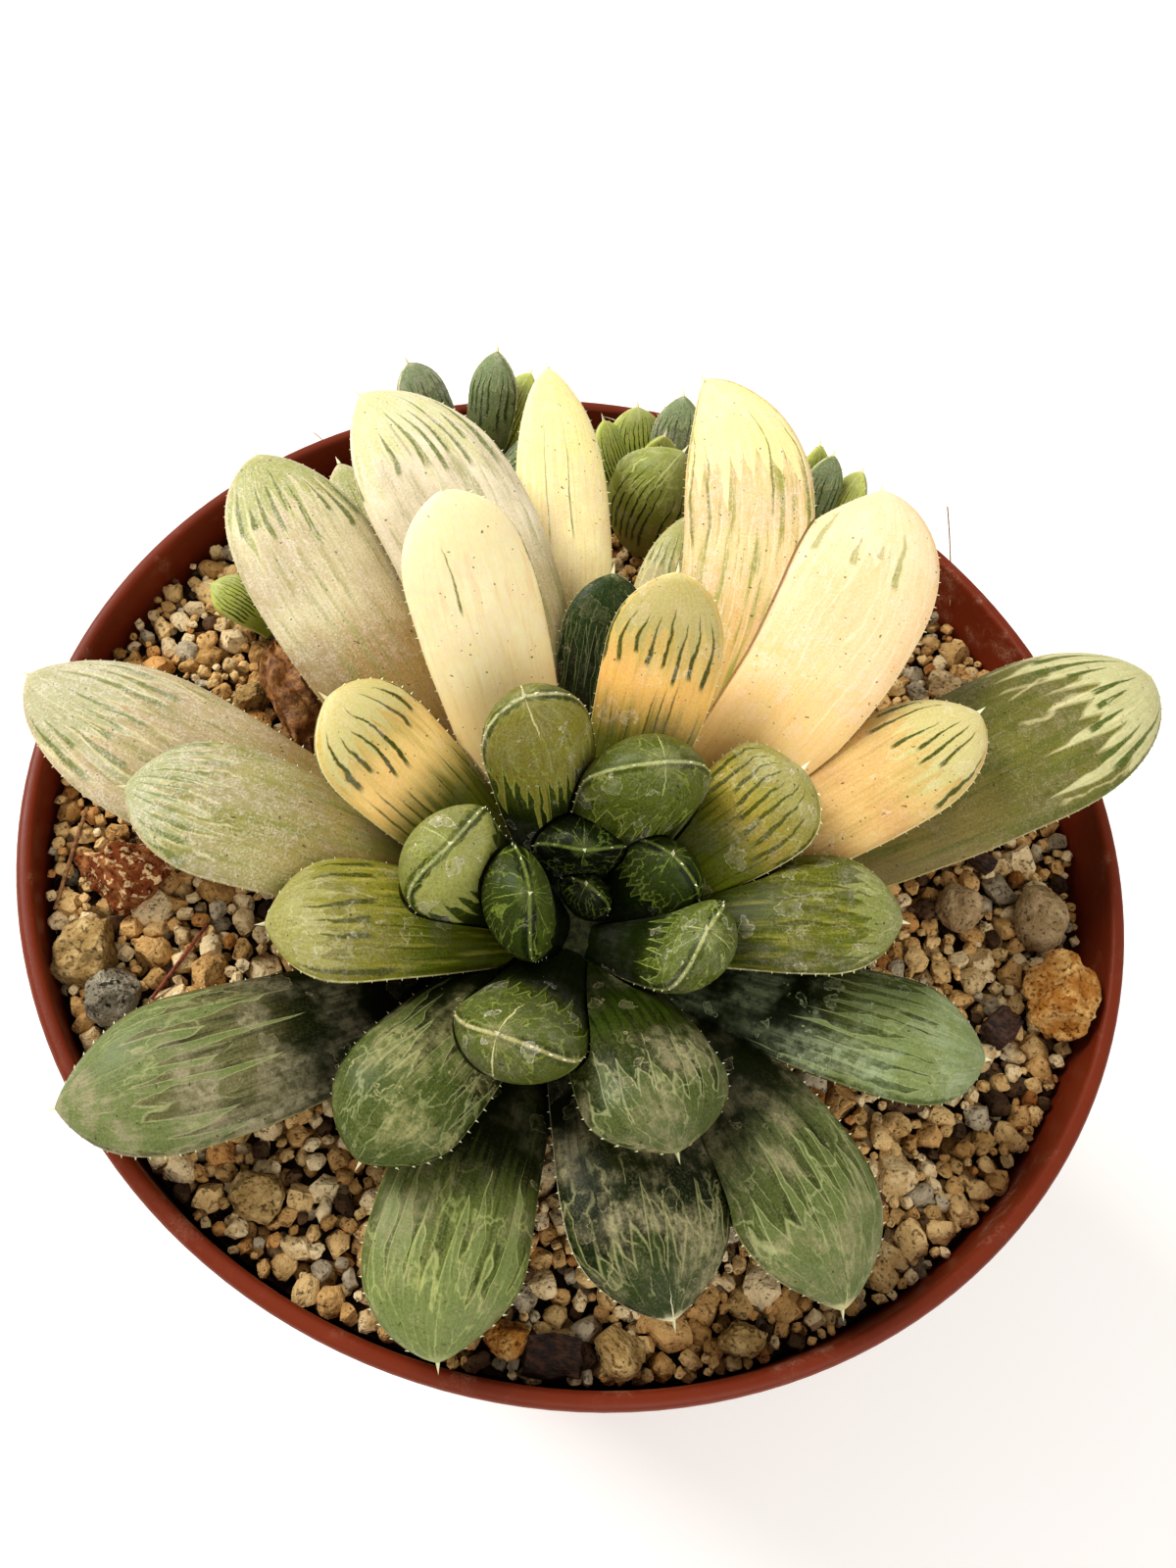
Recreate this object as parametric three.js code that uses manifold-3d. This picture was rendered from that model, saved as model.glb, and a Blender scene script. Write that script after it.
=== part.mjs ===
// A variegated haworthia in a round terracotta-coloured plastic pot.
//
// Millimetres, +Z up. The origin is the middle of the pot's underside, on the surface it stands on.
// +X is to the right and +Y is away from the viewer who sees the plant as it is usually shown.
//
// The plant is one main rosette of thick leaves round a short crown, with four small offsets (pups)
// behind it, in a mineral substrate of grit with a few larger stones. Each leaf is a ball that is
// stretched along a curved spine and given a leaf's outline and cross-section. Leaves are numbered
// from the youngest, at the heart of the rosette, to the oldest, on the outside: each older leaf is
// cut back by a clearance round the younger ones that it wraps.

import * as THREE from 'three';
import { mergeVertices } from 'three/addons/utils/BufferGeometryUtils.js';
import Module from 'manifold-3d';

const wasm = await Module();
wasm.setup();

// ---------------------------------------------------------------- driving dimensions

const CLEARANCE = 0.35; // between two pieces that rest on each other

const POT = {
  height: 88,
  rimRadius: 52.5, // outside of the rim
  rimThickness: 1.5,
  rimBevel: [0.35, 0.8], // across and down
  collarHeight: 15, // the wider band under the rim
  collarTaper: 0.7, // how much narrower the collar is at its foot
  collarStep: 1.6, // how far the collar stands out from the wall
  footRadius: 37,
  footBevel: 1.2,
  wall: 1.6,
  liner: 0.3, // how much narrower the inside of the collar is than the rim's
  floor: 2.2,
  sides: 56,
  drainHoles: 6,
  drainRadius: 2.8,
  drainCircle: 24,
};

const SOIL = {
  depthBelowRim: 4.6, // mean level of the grit under the rim
  tilt: 1.3, // higher on the left, lower on the right and at the back
  tiltAzimuth: 50,
  dish: 3, // how much lower the grit lies round the crown, under the leaves
  dishRadius: 12,
  gridStep: 2.9,
  grainSpacing: 5, // grit, drawn larger than life
  grainHeight: 1.4,
};

// The short, thick crown that all the leaves of the main rosette grow from: radius, and height
// from the rim. It stands in the grit and ends in the stub of its root.
const CROWN = {
  x: 1,
  y: -14.5,
  profile: [[0, -16], [3.5, -16], [7.4, -7], [7.4, -3], [5.6, 1], [3, 4.5], [0, 5.5]],
  sides: 16,
};

// Where the leaves leave the crown: each older leaf starts a little lower and further out.
const PHYLLOTAXIS = {
  firstRadius: 0.4,
  radiusStep: 0.13,
  firstHeight: 3,
  heightStep: 0.17,
};

// A leaf's form. Lengths are fractions of the leaf's width, places are fractions of its length.
const LEAF = {
  baseWidth: 0.55,
  widest: 0.66,
  rise: 1.3,
  shoulder: 2.1,
  upperSwell: 0.16, // unless the leaf gives a swell of its own
  lowerSwell: 0.34,
  swellBase: 0.55,
  swellPlace: 0.7,
  swellPoint: 1.5,
  sides: 8,
  rings: [0, 0, 0.2, 0.4, 0.57, 0.71, 0.83, 0.92, 0.975, 1],
};

// Leaf colours: base colour of each tone.
const TONES = {
  yellow: 0xe3cf83,
  cream: 0xdcd3a6,
  pale: 0xc3c19a,
  green: 0x8f9a58,
  dark: 0x55633f,
};

// The main rosette, youngest leaf first. Tip and bow are places from the crown's axis at the height
// of the rim: the spine starts at the crown, is drawn towards the bow, and ends at the tip. point
// says how blunt the end is (1.2 pointed, 1.9 round), and turn twists the blade, in degrees.
const LEAVES = [
  // the heart, deep in the rosette: short, upright and swollen at the end
  { tone: 'dark', tip: [0, 1, 9], bow: [0.5, 1.5, 5], width: 5, point: 1.5, swell: 0.26 },
  { tone: 'dark', tip: [-1, 2, 13], bow: [-2, 6.5, 8], width: 8, point: 1.6, swell: 0.26 },
  { tone: 'dark', tip: [6, 3.5, 14], bow: [7, 3.5, 8], width: 8, point: 1.6, swell: 0.26, turn: 35 },
  { tone: 'green', tip: [-4, -4.5, 16], bow: [-6, -3, 9], width: 9.5, point: 1.6, swell: 0.26 },
  { tone: 'green', tip: [10, -2.5, 15], bow: [11.5, -3, 10], width: 9, point: 1.5, swell: 0.26 },
  { tone: 'green', tip: [3, 8, 20], bow: [2, 10.5, 13], width: 11, point: 1.6, swell: 0.28, turn: 35 },
  { tone: 'green', tip: [-11, -3, 17], bow: [-13.5, -2, 11], width: 10, point: 1.6, swell: 0.28, turn: -30 },
  { tone: 'green', tip: [-9, 8, 23], bow: [-7, 10, 14], width: 9.5, point: 1.7, swell: 0.26 },
  { tone: 'green', tip: [-3, -15.5, 15], bow: [-0.5, -14.5, 8], width: 10.5, point: 1.6, swell: 0.26 },
  // the ring round the heart
  { tone: 'green', tip: [14.5, 14, 16], bow: [13, 11.5, 14], width: 11, point: 1.6, swell: 0.2 },
  { tone: 'yellow', tip: [-0.5, 23.5, 24], bow: [1.5, 19, 17], width: 10, point: 1.7 },
  { tone: 'yellow', tip: [-24.5, 6, 17], bow: [-19, 5, 14], width: 11, point: 1.7 },
  { tone: 'green', tip: [26, 5, 12], bow: [18, 3.5, 14], width: 10.8, point: 1.4, swell: 0.2 },
  { tone: 'green', tip: [-23, -11.5, 11], bow: [-15.5, -9, 14], width: 10.5, point: 1.4, swell: 0.2 },
  { tone: 'dark', tip: [12.5, -18.5, 10], bow: [9, -13.5, 12], width: 12, point: 1.3, swell: 0.22 },
  { tone: 'dark', tip: [-10, -25.5, 7], bow: [-8.5, -19, 12], width: 11, point: 1.5, swell: 0.22 },
  // the tall pale leaves behind and at the sides
  { tone: 'yellow', tip: [-21, 23.5, 25], bow: [-16, 19.5, 17], width: 11.5, point: 1.8 },
  { tone: 'yellow', tip: [29, 26, 15], bow: [23, 17.5, 13], width: 11, point: 1.6 },
  { tone: 'yellow', tip: [15, 41.5, 22], bow: [18, 29.5, 17], width: 15, point: 1.5 },
  { tone: 'cream', tip: [-3.5, 48.5, 22], bow: [12.5, 36.5, 19], width: 12, point: 1.5 },
  { tone: 'dark', tip: [37, -1.5, 5], bow: [28, -4, 9], width: 11, point: 1.35 },
  { tone: 'pale', tip: [-37.5, -4.5, 12], bow: [-28, -3.5, 14], width: 12, point: 1.5 },
  { tone: 'cream', tip: [-33.5, 37.5, 18], bow: [-16.5, 30, 17], width: 14.5, point: 1.6 },
  // the oldest leaves, low over the grit
  { tone: 'dark', tip: [16, -29, 4], bow: [11, -21, 8], width: 13, point: 1.15 },
  { tone: 'dark', tip: [28.5, -24.5, 4], bow: [24, -15, 9], width: 12.5, point: 1.25 },
  { tone: 'pale', tip: [-40.5, 29.5, 15], bow: [-29, 17.5, 13], width: 13.5, point: 1.8 },
  { tone: 'dark', tip: [-6, 28, 16], bow: [-4.5, 22, 11], width: 8.5, point: 1.6 },
  { tone: 'pale', tip: [-1, 40, 13], bow: [2, 28, 10], width: 9, point: 1.6 },
  { tone: 'cream', tip: [-19, 51.5, 15], bow: [-10, 32.5, 11], width: 9.2, point: 1.6 },
  { tone: 'pale', tip: [47, 40.2, 10.5], bow: [34, 25.4, 10], width: 16, point: 1.9 },
  { tone: 'pale', tip: [-51, 4, 9], bow: [-33, -0.3, 8.5], width: 14, point: 1.6 },
  { tone: 'dark', tip: [-33.5, -28, 4], bow: [-23, -22.5, 8], width: 12.5, point: 1.2 },
  { tone: 'pale', tip: [0, -36.5, 3], bow: [-4, -28, 7], width: 12.5, point: 1.4 },
  { tone: 'cream', tip: [-36, 37.5, 8], bow: [-22, 23, 6], width: 10, point: 1.6 },
];

// Offsets: each is a small rosette that grew as one head. Tips and bows are from its own middle.
const PUPS = [
  {
    name: 'pup_back',
    x: -4,
    y: 36,
    leaves: [
      { tip: [1.5, -1.5, 12], bow: [-1.5, -6, 5], width: 10, point: 1.5 },
      { tip: [-5, 8.5, 6.5], bow: [-4, 6, 3], width: 6.5, point: 1.4 },
      { tip: [-8, 5.5, 6], bow: [-5.5, 3, 3], width: 5, point: 1.4 },
      { tip: [-0.5, 9.5, 9], bow: [0.5, 6, 5], width: 5.5, point: 1.3 },
      { tip: [6, 4.5, 8], bow: [5, 2.5, 3], width: 6, point: 1.4 },
      { tip: [-1, 3, 9], bow: [-1, 2, 4], width: 4.5, point: 1.4 },
    ],
  },
  {
    name: 'pup_left',
    x: -24,
    y: 34.5,
    leaves: [
      { tip: [-9.5, 4.5, 8], bow: [-6, 2.5, 4], width: 6.5, point: 1.5 },
      { tip: [-0.5, 7, 11], bow: [0.5, 4, 5], width: 5.5, point: 1.4 },
      { tip: [3, 8.5, 8], bow: [2, 5, 4], width: 4.5, point: 1.4 },
      { tip: [6, 1.5, 5], bow: [4, 1, 3], width: 5, point: 1.5 },
    ],
  },
  {
    name: 'pup_right',
    x: 13,
    y: 37,
    leaves: [
      { tip: [-2, 6.5, 10], bow: [-1, 3, 5], width: 4, point: 1.4 },
      { tip: [-0.5, 4.5, 11], bow: [-0.5, 1.5, 6], width: 4.5, point: 1.4 },
      { tip: [3, 4.5, 10], bow: [2.5, 2, 4], width: 5, point: 1.4 },
      { tip: [5, -1, 5], bow: [3.5, 0, 2], width: 4.5, point: 1.4 },
    ],
  },
  {
    name: 'pup_small',
    x: -36,
    y: 9,
    leaves: [
      { tip: [-7.5, 0.5, 0.5], bow: [-4, 0.5, 0], width: 5, point: 1.3 },
      { tip: [-4, 5, 2.5], bow: [-2.5, 3, 0], width: 4, point: 1.4 },
      { tip: [1, 5.5, 2], bow: [1, 3, 0], width: 4, point: 1.4 },
    ],
  },
];

const PUP = {
  rootDepth: -9, // of the pup's own short crown, under the rim
  rootTop: -1.5,
  rootRadius: 2.6,
  rootFootRadius: 1.8,
  leafStart: -3.5,
  leafStartRadius: 0.8,
  sides: 7,
  rings: [0, 0, 0.4, 0.7, 0.9, 1],
  color: 0x6a7a50,
};

// A dried leaf, low beside the rosette.
const DRY_LEAF = {
  start: [-25.5, -7, -4.5],
  bow: [-29, -2, -0.5],
  tip: [-34, 5, -1],
  width: 5.5,
  point: 1.4,
};

// Larger stones lying in the grit: middle, size along and across, height, and colour.
const STONES = [
  { x: -38.5, y: -20.5, long: 9.6, wide: 7.2, high: 6.4, turn: 10, color: 0x8a6048 },
  { x: -38, y: -28.5, long: 6.4, wide: 6, high: 5, turn: 40, color: 0xa98f70 },
  { x: -34, y: -31.6, long: 6.2, wide: 5.4, high: 4.8, turn: 0, color: 0x9b9a92 },
  { x: 37.8, y: 2.9, long: 6, wide: 5.2, high: 4.4, turn: -20, color: 0x9c8d7a },
  { x: 45.6, y: 4.2, long: 7, wide: 5.6, high: 4.6, turn: 80, color: 0xa38d78 },
  { x: 46.8, y: -5, long: 9, wide: 6.2, high: 6.6, turn: 70, lift: 3.4, color: 0xa57543 },
  { x: 14.5, y: -46, long: 4.8, wide: 4.2, high: 3.8, turn: 0, color: 0x9c8a73 },
  { x: 24, y: -42, long: 4.8, wide: 3.4, high: 3, turn: -10, color: 0xa28a6a },
  { x: -17, y: -43.5, long: 5, wide: 4.4, high: 3.8, turn: 20, color: 0x9a8064 },
  { x: 5.5, y: -47.4, long: 4.2, wide: 3.4, high: 3.2, turn: 10, color: 0xa3703f },
  { x: 33.2, y: 29.5, long: 5.4, wide: 3.8, high: 3.6, turn: 10, color: 0xb28a5e },
  { x: -36, y: 0.5, long: 4.8, wide: 3.6, high: 3.6, turn: 70, color: 0x9a7c55 },
];

// sunk is the share of a stone's height under the level of the grit, and lift raises it from there.
const STONE = { roughness: 0.16, sunk: 0.38, lift: 0.5 };

// ---------------------------------------------------------------- helpers

const degrees = THREE.MathUtils.degToRad;

// A small repeatable noise: the same numbers give the same value, between 0 and 1.
function noise(a, b = 0, c = 0) {
  const wave = Math.sin(a * 127.1 + b * 311.7 + c * 74.7) * 43758.5453;
  return wave - Math.floor(wave);
}

function weld(geometry) {
  const bare = geometry.clone();
  bare.deleteAttribute('normal');
  bare.deleteAttribute('uv');
  return mergeVertices(bare, 1e-4);
}

function toSolid(geometry) {
  const welded = weld(geometry);
  return new wasm.Manifold(new wasm.Mesh({
    numProp: 3,
    vertProperties: new Float32Array(welded.attributes.position.array),
    triVerts: new Uint32Array(welded.index.array),
  }));
}

// The biggest connected body of a solid: the scraps that a cut leaves loose are dropped.
function biggestBody(mesh) {
  const group = Array.from({ length: mesh.vertProperties.length / mesh.numProp }, (_, i) => i);
  const root = (i) => {
    while (group[i] !== i) {
      group[i] = group[group[i]];
      i = group[i];
    }
    return i;
  };
  const triangles = mesh.triVerts;
  for (let i = 0; i < triangles.length; i += 3) {
    group[root(triangles[i])] = root(triangles[i + 1]);
    group[root(triangles[i + 1])] = root(triangles[i + 2]);
  }
  const bodies = new Map();
  for (let i = 0; i < triangles.length; i += 3) {
    const key = root(triangles[i]);
    if (!bodies.has(key)) bodies.set(key, []);
    bodies.get(key).push(triangles[i], triangles[i + 1], triangles[i + 2]);
  }
  return [...bodies.values()].sort((a, b) => b.length - a.length)[0];
}

function toGeometry(solid) {
  const mesh = solid.getMesh();
  const points = [];
  for (let i = 0; i < mesh.vertProperties.length; i += mesh.numProp) {
    points.push(mesh.vertProperties[i], mesh.vertProperties[i + 1], mesh.vertProperties[i + 2]);
  }
  const geometry = new THREE.BufferGeometry();
  geometry.setAttribute('position', new THREE.Float32BufferAttribute(points, 3));
  geometry.setIndex(biggestBody(mesh));
  geometry.computeVertexNormals();
  return geometry;
}

const plant = new THREE.Group();

function addPart(name, solid, color, roughness = 0.6) {
  const material = new THREE.MeshStandardMaterial({ color, roughness, metalness: 0 });
  const mesh = new THREE.Mesh(toGeometry(solid), material);
  mesh.name = name;
  plant.add(mesh);
}

// ---------------------------------------------------------------- the pot

// The height where the collar steps in to the tapered wall.
const collarFoot = POT.height - POT.collarHeight;
const collarRadius = POT.rimRadius - POT.collarTaper;
const wallTopRadius = collarRadius - POT.collarStep;

// The pot's inner face, which the soil fills: radii at the floor, at the ledge where the wall
// meets the collar, and inside the collar.
const inner = {
  floor: POT.footRadius - POT.wall,
  ledge: wallTopRadius - POT.wall,
  ledgeHeight: collarFoot - 2,
  collar: POT.rimRadius - POT.rimThickness - POT.liner,
};

function potSolid() {
  const rimInner = POT.rimRadius - POT.rimThickness;
  const [across, down] = POT.rimBevel;
  const outline = [
    [0, 0],
    [POT.footRadius - POT.footBevel, 0],
    [POT.footRadius, POT.footBevel],
    [wallTopRadius, collarFoot - 1],
    [collarRadius - 0.5, collarFoot],
    [collarRadius, collarFoot + 1],
    [POT.rimRadius, POT.height - down],
    [POT.rimRadius - across, POT.height],
    [rimInner + across, POT.height],
    [rimInner, POT.height - down],
    [inner.collar, collarFoot + 1],
    [inner.ledge, inner.ledgeHeight],
    [inner.floor, POT.floor],
    [0, POT.floor],
  ];
  const body = new THREE.LatheGeometry(outline.map(([r, z]) => new THREE.Vector2(r, z)), POT.sides);
  body.rotateX(Math.PI / 2);
  let solid = toSolid(body);
  for (let i = 0; i < POT.drainHoles; i += 1) {
    const hole = new THREE.CylinderGeometry(POT.drainRadius, POT.drainRadius, 4 * POT.floor, 12);
    hole.rotateX(Math.PI / 2);
    const angle = (2 * Math.PI * i) / POT.drainHoles;
    hole.translate(POT.drainCircle * Math.cos(angle), POT.drainCircle * Math.sin(angle), 0);
    solid = solid.subtract(toSolid(hole));
  }
  return solid;
}

// ---------------------------------------------------------------- leaves

// Half of the leaf's width, or of its thickness, along the spine: it swells from the base to its
// fullest place and closes to a point.
function fullness(t, base, place, point) {
  if (t < place) return base + (1 - base) * Math.sin((Math.PI / 2) * (t / place)) ** LEAF.rise;
  const past = (t - place) / (1 - place);
  return Math.max(1 - past ** LEAF.shoulder, 0) ** (1 / point);
}

// A ball whose rings are moved to the leaf's cross-sections along the spine. grow makes it fatter
// all round, for cutting a clearance.
function leafSolid(leaf, start, grow = 0, sides = LEAF.sides, rings = LEAF.rings) {
  const spine = new THREE.QuadraticBezierCurve3(start, leaf.bowPoint, leaf.tipPoint);
  const azimuth = Math.atan2(leaf.bow[1], leaf.bow[0]) + degrees(leaf.turn ?? 0);
  const across = new THREE.Vector3(-Math.sin(azimuth), Math.cos(azimuth), 0);
  const ball = new THREE.SphereGeometry(1, sides, rings.length - 1);
  const uv = ball.attributes.uv;
  const place = ball.attributes.position;
  for (let i = 0; i < place.count; i += 1) {
    const ring = Math.round((1 - uv.getY(i)) * (rings.length - 1));
    const angle = 2 * Math.PI * Math.round(uv.getX(i) * sides) / sides;
    const atPole = ring === 0 || ring === rings.length - 1;
    const t = rings[ring];
    const along = spine.getTangent(t);
    const side = across.clone().addScaledVector(along, -across.dot(along)).normalize();
    const up = new THREE.Vector3().crossVectors(along, side);
    const thick = leaf.width * fullness(t, LEAF.swellBase, LEAF.swellPlace, LEAF.swellPoint);
    const half = (leaf.width / 2) * fullness(t, LEAF.baseWidth, LEAF.widest, leaf.point);
    const out = Math.sin(angle);
    const swell = thick * (out > 0 ? leaf.swell ?? LEAF.upperSwell : LEAF.lowerSwell);
    const point = spine.getPoint(t);
    if (!atPole) {
      point.addScaledVector(side, -Math.cos(angle) * (half + grow));
      point.addScaledVector(up, out * (swell + grow));
    } else {
      point.addScaledVector(along, ring === 0 ? -grow : grow);
    }
    place.setXYZ(i, point.x, point.y, point.z);
  }
  return toSolid(ball);
}

function atRim(x, y, z) {
  return new THREE.Vector3(x, y, POT.height + z);
}

function placeLeaf(leaf, x, y) {
  return {
    ...leaf,
    tipPoint: atRim(x + leaf.tip[0], y + leaf.tip[1], leaf.tip[2]),
    bowPoint: atRim(x + leaf.bow[0], y + leaf.bow[1], leaf.bow[2]),
  };
}

// Where a leaf starts: on the side of the crown that it grows towards.
function leafStart(leaf, x, y, radius, height) {
  const reach = Math.hypot(leaf.bow[0], leaf.bow[1]);
  return atRim(x + (radius * leaf.bow[0]) / reach, y + (radius * leaf.bow[1]) / reach, height);
}

function mainLeaf(spec, order, grow = 0) {
  const leaf = placeLeaf(spec, CROWN.x, CROWN.y);
  const radius = PHYLLOTAXIS.firstRadius + PHYLLOTAXIS.radiusStep * order;
  const height = PHYLLOTAXIS.firstHeight - PHYLLOTAXIS.heightStep * order;
  return leafSolid(leaf, leafStart(leaf, CROWN.x, CROWN.y, radius, height), grow);
}

function pupSolid(pup, grow = 0) {
  const height = PUP.rootTop - PUP.rootDepth + 2 * grow;
  const root = new THREE.CylinderGeometry(PUP.rootRadius + grow, PUP.rootFootRadius + grow, height, 10);
  root.rotateX(Math.PI / 2);
  root.translate(pup.x, pup.y, POT.height + (PUP.rootTop + PUP.rootDepth) / 2);
  return pup.leaves.reduce((head, spec) => {
    const leaf = placeLeaf(spec, pup.x, pup.y);
    const start = leafStart(leaf, pup.x, pup.y, PUP.leafStartRadius, PUP.leafStart);
    return head.add(leafSolid(leaf, start, grow, PUP.sides, PUP.rings));
  }, toSolid(root));
}

function dryLeafSolid(grow = 0) {
  const leaf = {
    ...DRY_LEAF,
    tipPoint: atRim(...DRY_LEAF.tip),
    bowPoint: atRim(...DRY_LEAF.bow),
  };
  return leafSolid(leaf, atRim(...DRY_LEAF.start), grow, PUP.sides, PUP.rings);
}

function crownSolid(grow = 0) {
  const last = CROWN.profile.length - 1;
  const outline = CROWN.profile.map(([radius, height], i) => {
    const down = i < 2 ? -grow : 0;
    const up = i === last ? grow : 0;
    return new THREE.Vector2(radius > 0 ? radius + grow : 0, POT.height + height + down + up);
  });
  const core = new THREE.LatheGeometry(outline, CROWN.sides);
  core.rotateX(Math.PI / 2);
  core.translate(CROWN.x, CROWN.y, 0);
  return toSolid(core);
}

// ---------------------------------------------------------------- grit and stones

// The level of the substrate without its grains, from the rim.
function soilLevel(x, y) {
  const azimuth = degrees(SOIL.tiltAzimuth);
  const slope = (SOIL.tilt * (x * Math.cos(azimuth) + y * Math.sin(azimuth))) / POT.rimRadius;
  const fromCrown = Math.hypot(x - CROWN.x, y - CROWN.y) / SOIL.dishRadius;
  return -SOIL.depthBelowRim - slope - SOIL.dish * Math.exp(-fromCrown * fromCrown);
}

// Rounded grains: each cell of a square grid holds one, at a place and of a height of its own.
function grainRelief(x, y) {
  const column = Math.floor(x / SOIL.grainSpacing);
  const row = Math.floor(y / SOIL.grainSpacing);
  let relief = 0;
  for (let i = column - 1; i <= column + 1; i += 1) {
    for (let j = row - 1; j <= row + 1; j += 1) {
      const middleX = (i + 0.2 + 0.6 * noise(i, j, 1)) * SOIL.grainSpacing;
      const middleY = (j + 0.2 + 0.6 * noise(i, j, 2)) * SOIL.grainSpacing;
      const radius = SOIL.grainSpacing * (0.45 + 0.25 * noise(i, j, 3));
      const away = Math.hypot(x - middleX, y - middleY) / radius;
      const height = SOIL.grainHeight * (0.6 + 0.8 * noise(i, j, 4));
      relief = Math.max(relief, height * Math.sqrt(Math.max(1 - away * away, 0)));
    }
  }
  return relief;
}

// What fills the pot's inside up to the rim, cut off by a slab whose top has the grit's relief.
function soilSolid() {
  const floor = POT.floor + CLEARANCE;
  const outline = [
    [0, floor],
    [inner.floor - CLEARANCE, floor],
    [inner.ledge - CLEARANCE, inner.ledgeHeight],
    [inner.collar - CLEARANCE, collarFoot + 1],
    [inner.collar - CLEARANCE, POT.height],
    [0, POT.height],
  ];
  const fill = new THREE.LatheGeometry(outline.map(([r, z]) => new THREE.Vector2(r, z)), POT.sides);
  fill.rotateX(Math.PI / 2);

  const span = 2 * POT.rimRadius + 2 * SOIL.gridStep;
  const cells = Math.round(span / SOIL.gridStep);
  const slab = new THREE.BoxGeometry(span, span, POT.height, cells, cells, 1);
  const place = slab.attributes.position;
  for (let i = 0; i < place.count; i += 1) {
    const x = place.getX(i);
    const y = place.getY(i);
    if (place.getZ(i) > 0) place.setZ(i, POT.height + soilLevel(x, y) + grainRelief(x, y));
    else place.setZ(i, 0);
  }
  return toSolid(fill).intersect(toSolid(slab));
}

function stoneSolid(stone, order, grow = 0) {
  const rock = new THREE.IcosahedronGeometry(1, 1);
  const place = rock.attributes.position;
  const size = new THREE.Vector3(stone.long / 2 + grow, stone.wide / 2 + grow, stone.high / 2 + grow);
  for (let i = 0; i < place.count; i += 1) {
    const point = new THREE.Vector3().fromBufferAttribute(place, i);
    const lump = noise(Math.round(point.x * 50), Math.round(point.y * 50), Math.round(point.z * 50) + order);
    point.multiplyScalar(1 + STONE.roughness * (lump - 0.6)).multiply(size);
    place.setXYZ(i, point.x, point.y, point.z);
  }
  rock.rotateZ(degrees(stone.turn));
  const level = POT.height + soilLevel(stone.x, stone.y);
  const middle = stone.high * (0.5 - STONE.sunk) + (stone.lift ?? STONE.lift);
  rock.translate(stone.x, stone.y, level + middle);
  return toSolid(rock);
}

// ---------------------------------------------------------------- the whole plant

function boxesMeet(a, b) {
  const first = a.boundingBox();
  const second = b.boundingBox();
  return [0, 1, 2].every((k) => first.min[k] < second.max[k] && second.min[k] < first.max[k]);
}

// Takes each cutter that reaches the solid away from it.
function cutBy(solid, cutters) {
  return cutters.reduce((rest, cutter) => (boxesMeet(rest, cutter) ? rest.subtract(cutter) : rest), solid);
}

const number = (i) => String(i + 1).padStart(2, '0');

addPart('pot', potSolid(), 0x9a5038, 0.45);

const cutters = [crownSolid(CLEARANCE)];
addPart('crown', crownSolid(), 0x6d5b3e, 0.9);

LEAVES.forEach((spec, order) => {
  addPart(`leaf_${number(order)}`, cutBy(mainLeaf(spec, order), cutters), TONES[spec.tone], 0.4);
  cutters.push(mainLeaf(spec, order, CLEARANCE));
});

PUPS.forEach((pup) => {
  addPart(pup.name, cutBy(pupSolid(pup), cutters), PUP.color, 0.45);
  cutters.push(pupSolid(pup, CLEARANCE));
});

addPart('dry_leaf', cutBy(dryLeafSolid(), cutters), 0x8a5d34, 0.85);
cutters.push(dryLeafSolid(CLEARANCE));

STONES.forEach((stone, order) => {
  addPart(`stone_${number(order)}`, cutBy(stoneSolid(stone, order), cutters), stone.color, 0.9);
  cutters.push(stoneSolid(stone, order, CLEARANCE));
});

addPart('soil', cutBy(soilSolid(), cutters), 0x9a8163, 0.95);

export default plant;
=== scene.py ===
# %% [markdown]
# # A potted haworthia
#
# A low rosette of thick, juicy leaves in a round plastic pot of mineral grit. Some of its leaves have
# lost their green and are pale yellow, others keep dark green stripes, and the youngest have clear
# windows at their ends, with pale veins. The solids of the pot, the leaves, the grit and the stones
# are loaded first. They fix every size and place, and finer pieces then stand in for them.

# %%
import math
import random
from collections import namedtuple

import bmesh
import bpy
import numpy as np
from mathutils import Matrix, Vector, noise
from mathutils.bvhtree import BVHTree
from mathutils.kdtree import KDTree


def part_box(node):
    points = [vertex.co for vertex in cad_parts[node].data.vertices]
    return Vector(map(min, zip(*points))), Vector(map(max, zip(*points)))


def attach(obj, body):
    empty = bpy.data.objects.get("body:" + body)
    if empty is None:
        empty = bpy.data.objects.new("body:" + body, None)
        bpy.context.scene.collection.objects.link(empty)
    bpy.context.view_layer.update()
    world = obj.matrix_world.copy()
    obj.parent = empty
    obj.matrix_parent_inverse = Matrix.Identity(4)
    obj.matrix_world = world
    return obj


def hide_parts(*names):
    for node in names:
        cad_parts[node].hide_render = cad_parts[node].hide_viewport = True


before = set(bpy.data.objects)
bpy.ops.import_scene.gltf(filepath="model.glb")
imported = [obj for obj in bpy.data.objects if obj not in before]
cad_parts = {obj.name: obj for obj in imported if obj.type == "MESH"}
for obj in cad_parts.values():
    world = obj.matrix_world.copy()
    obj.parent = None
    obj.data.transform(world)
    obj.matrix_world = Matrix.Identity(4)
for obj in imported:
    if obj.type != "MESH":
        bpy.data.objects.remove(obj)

MM = 0.001
NOISE_SEED, TOOTH_SEED, CHIP_SEED, SAND_SEED = 7, 4, 11, 23
ALL = "all"  # asks for every output of a node
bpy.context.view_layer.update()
noise.seed_set(NOISE_SEED)
bpy.ops.object.select_all(action="DESELECT")

# %% [markdown]
# ## The view
#
# The plant is seen from above and a little in front, with the camera rolled, so that the pot's round
# rim becomes a slanting oval. A camera is a place and three directions: what is right, what is up,
# and what is behind it. Written as the columns of a matrix, they turn it in one step.

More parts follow.
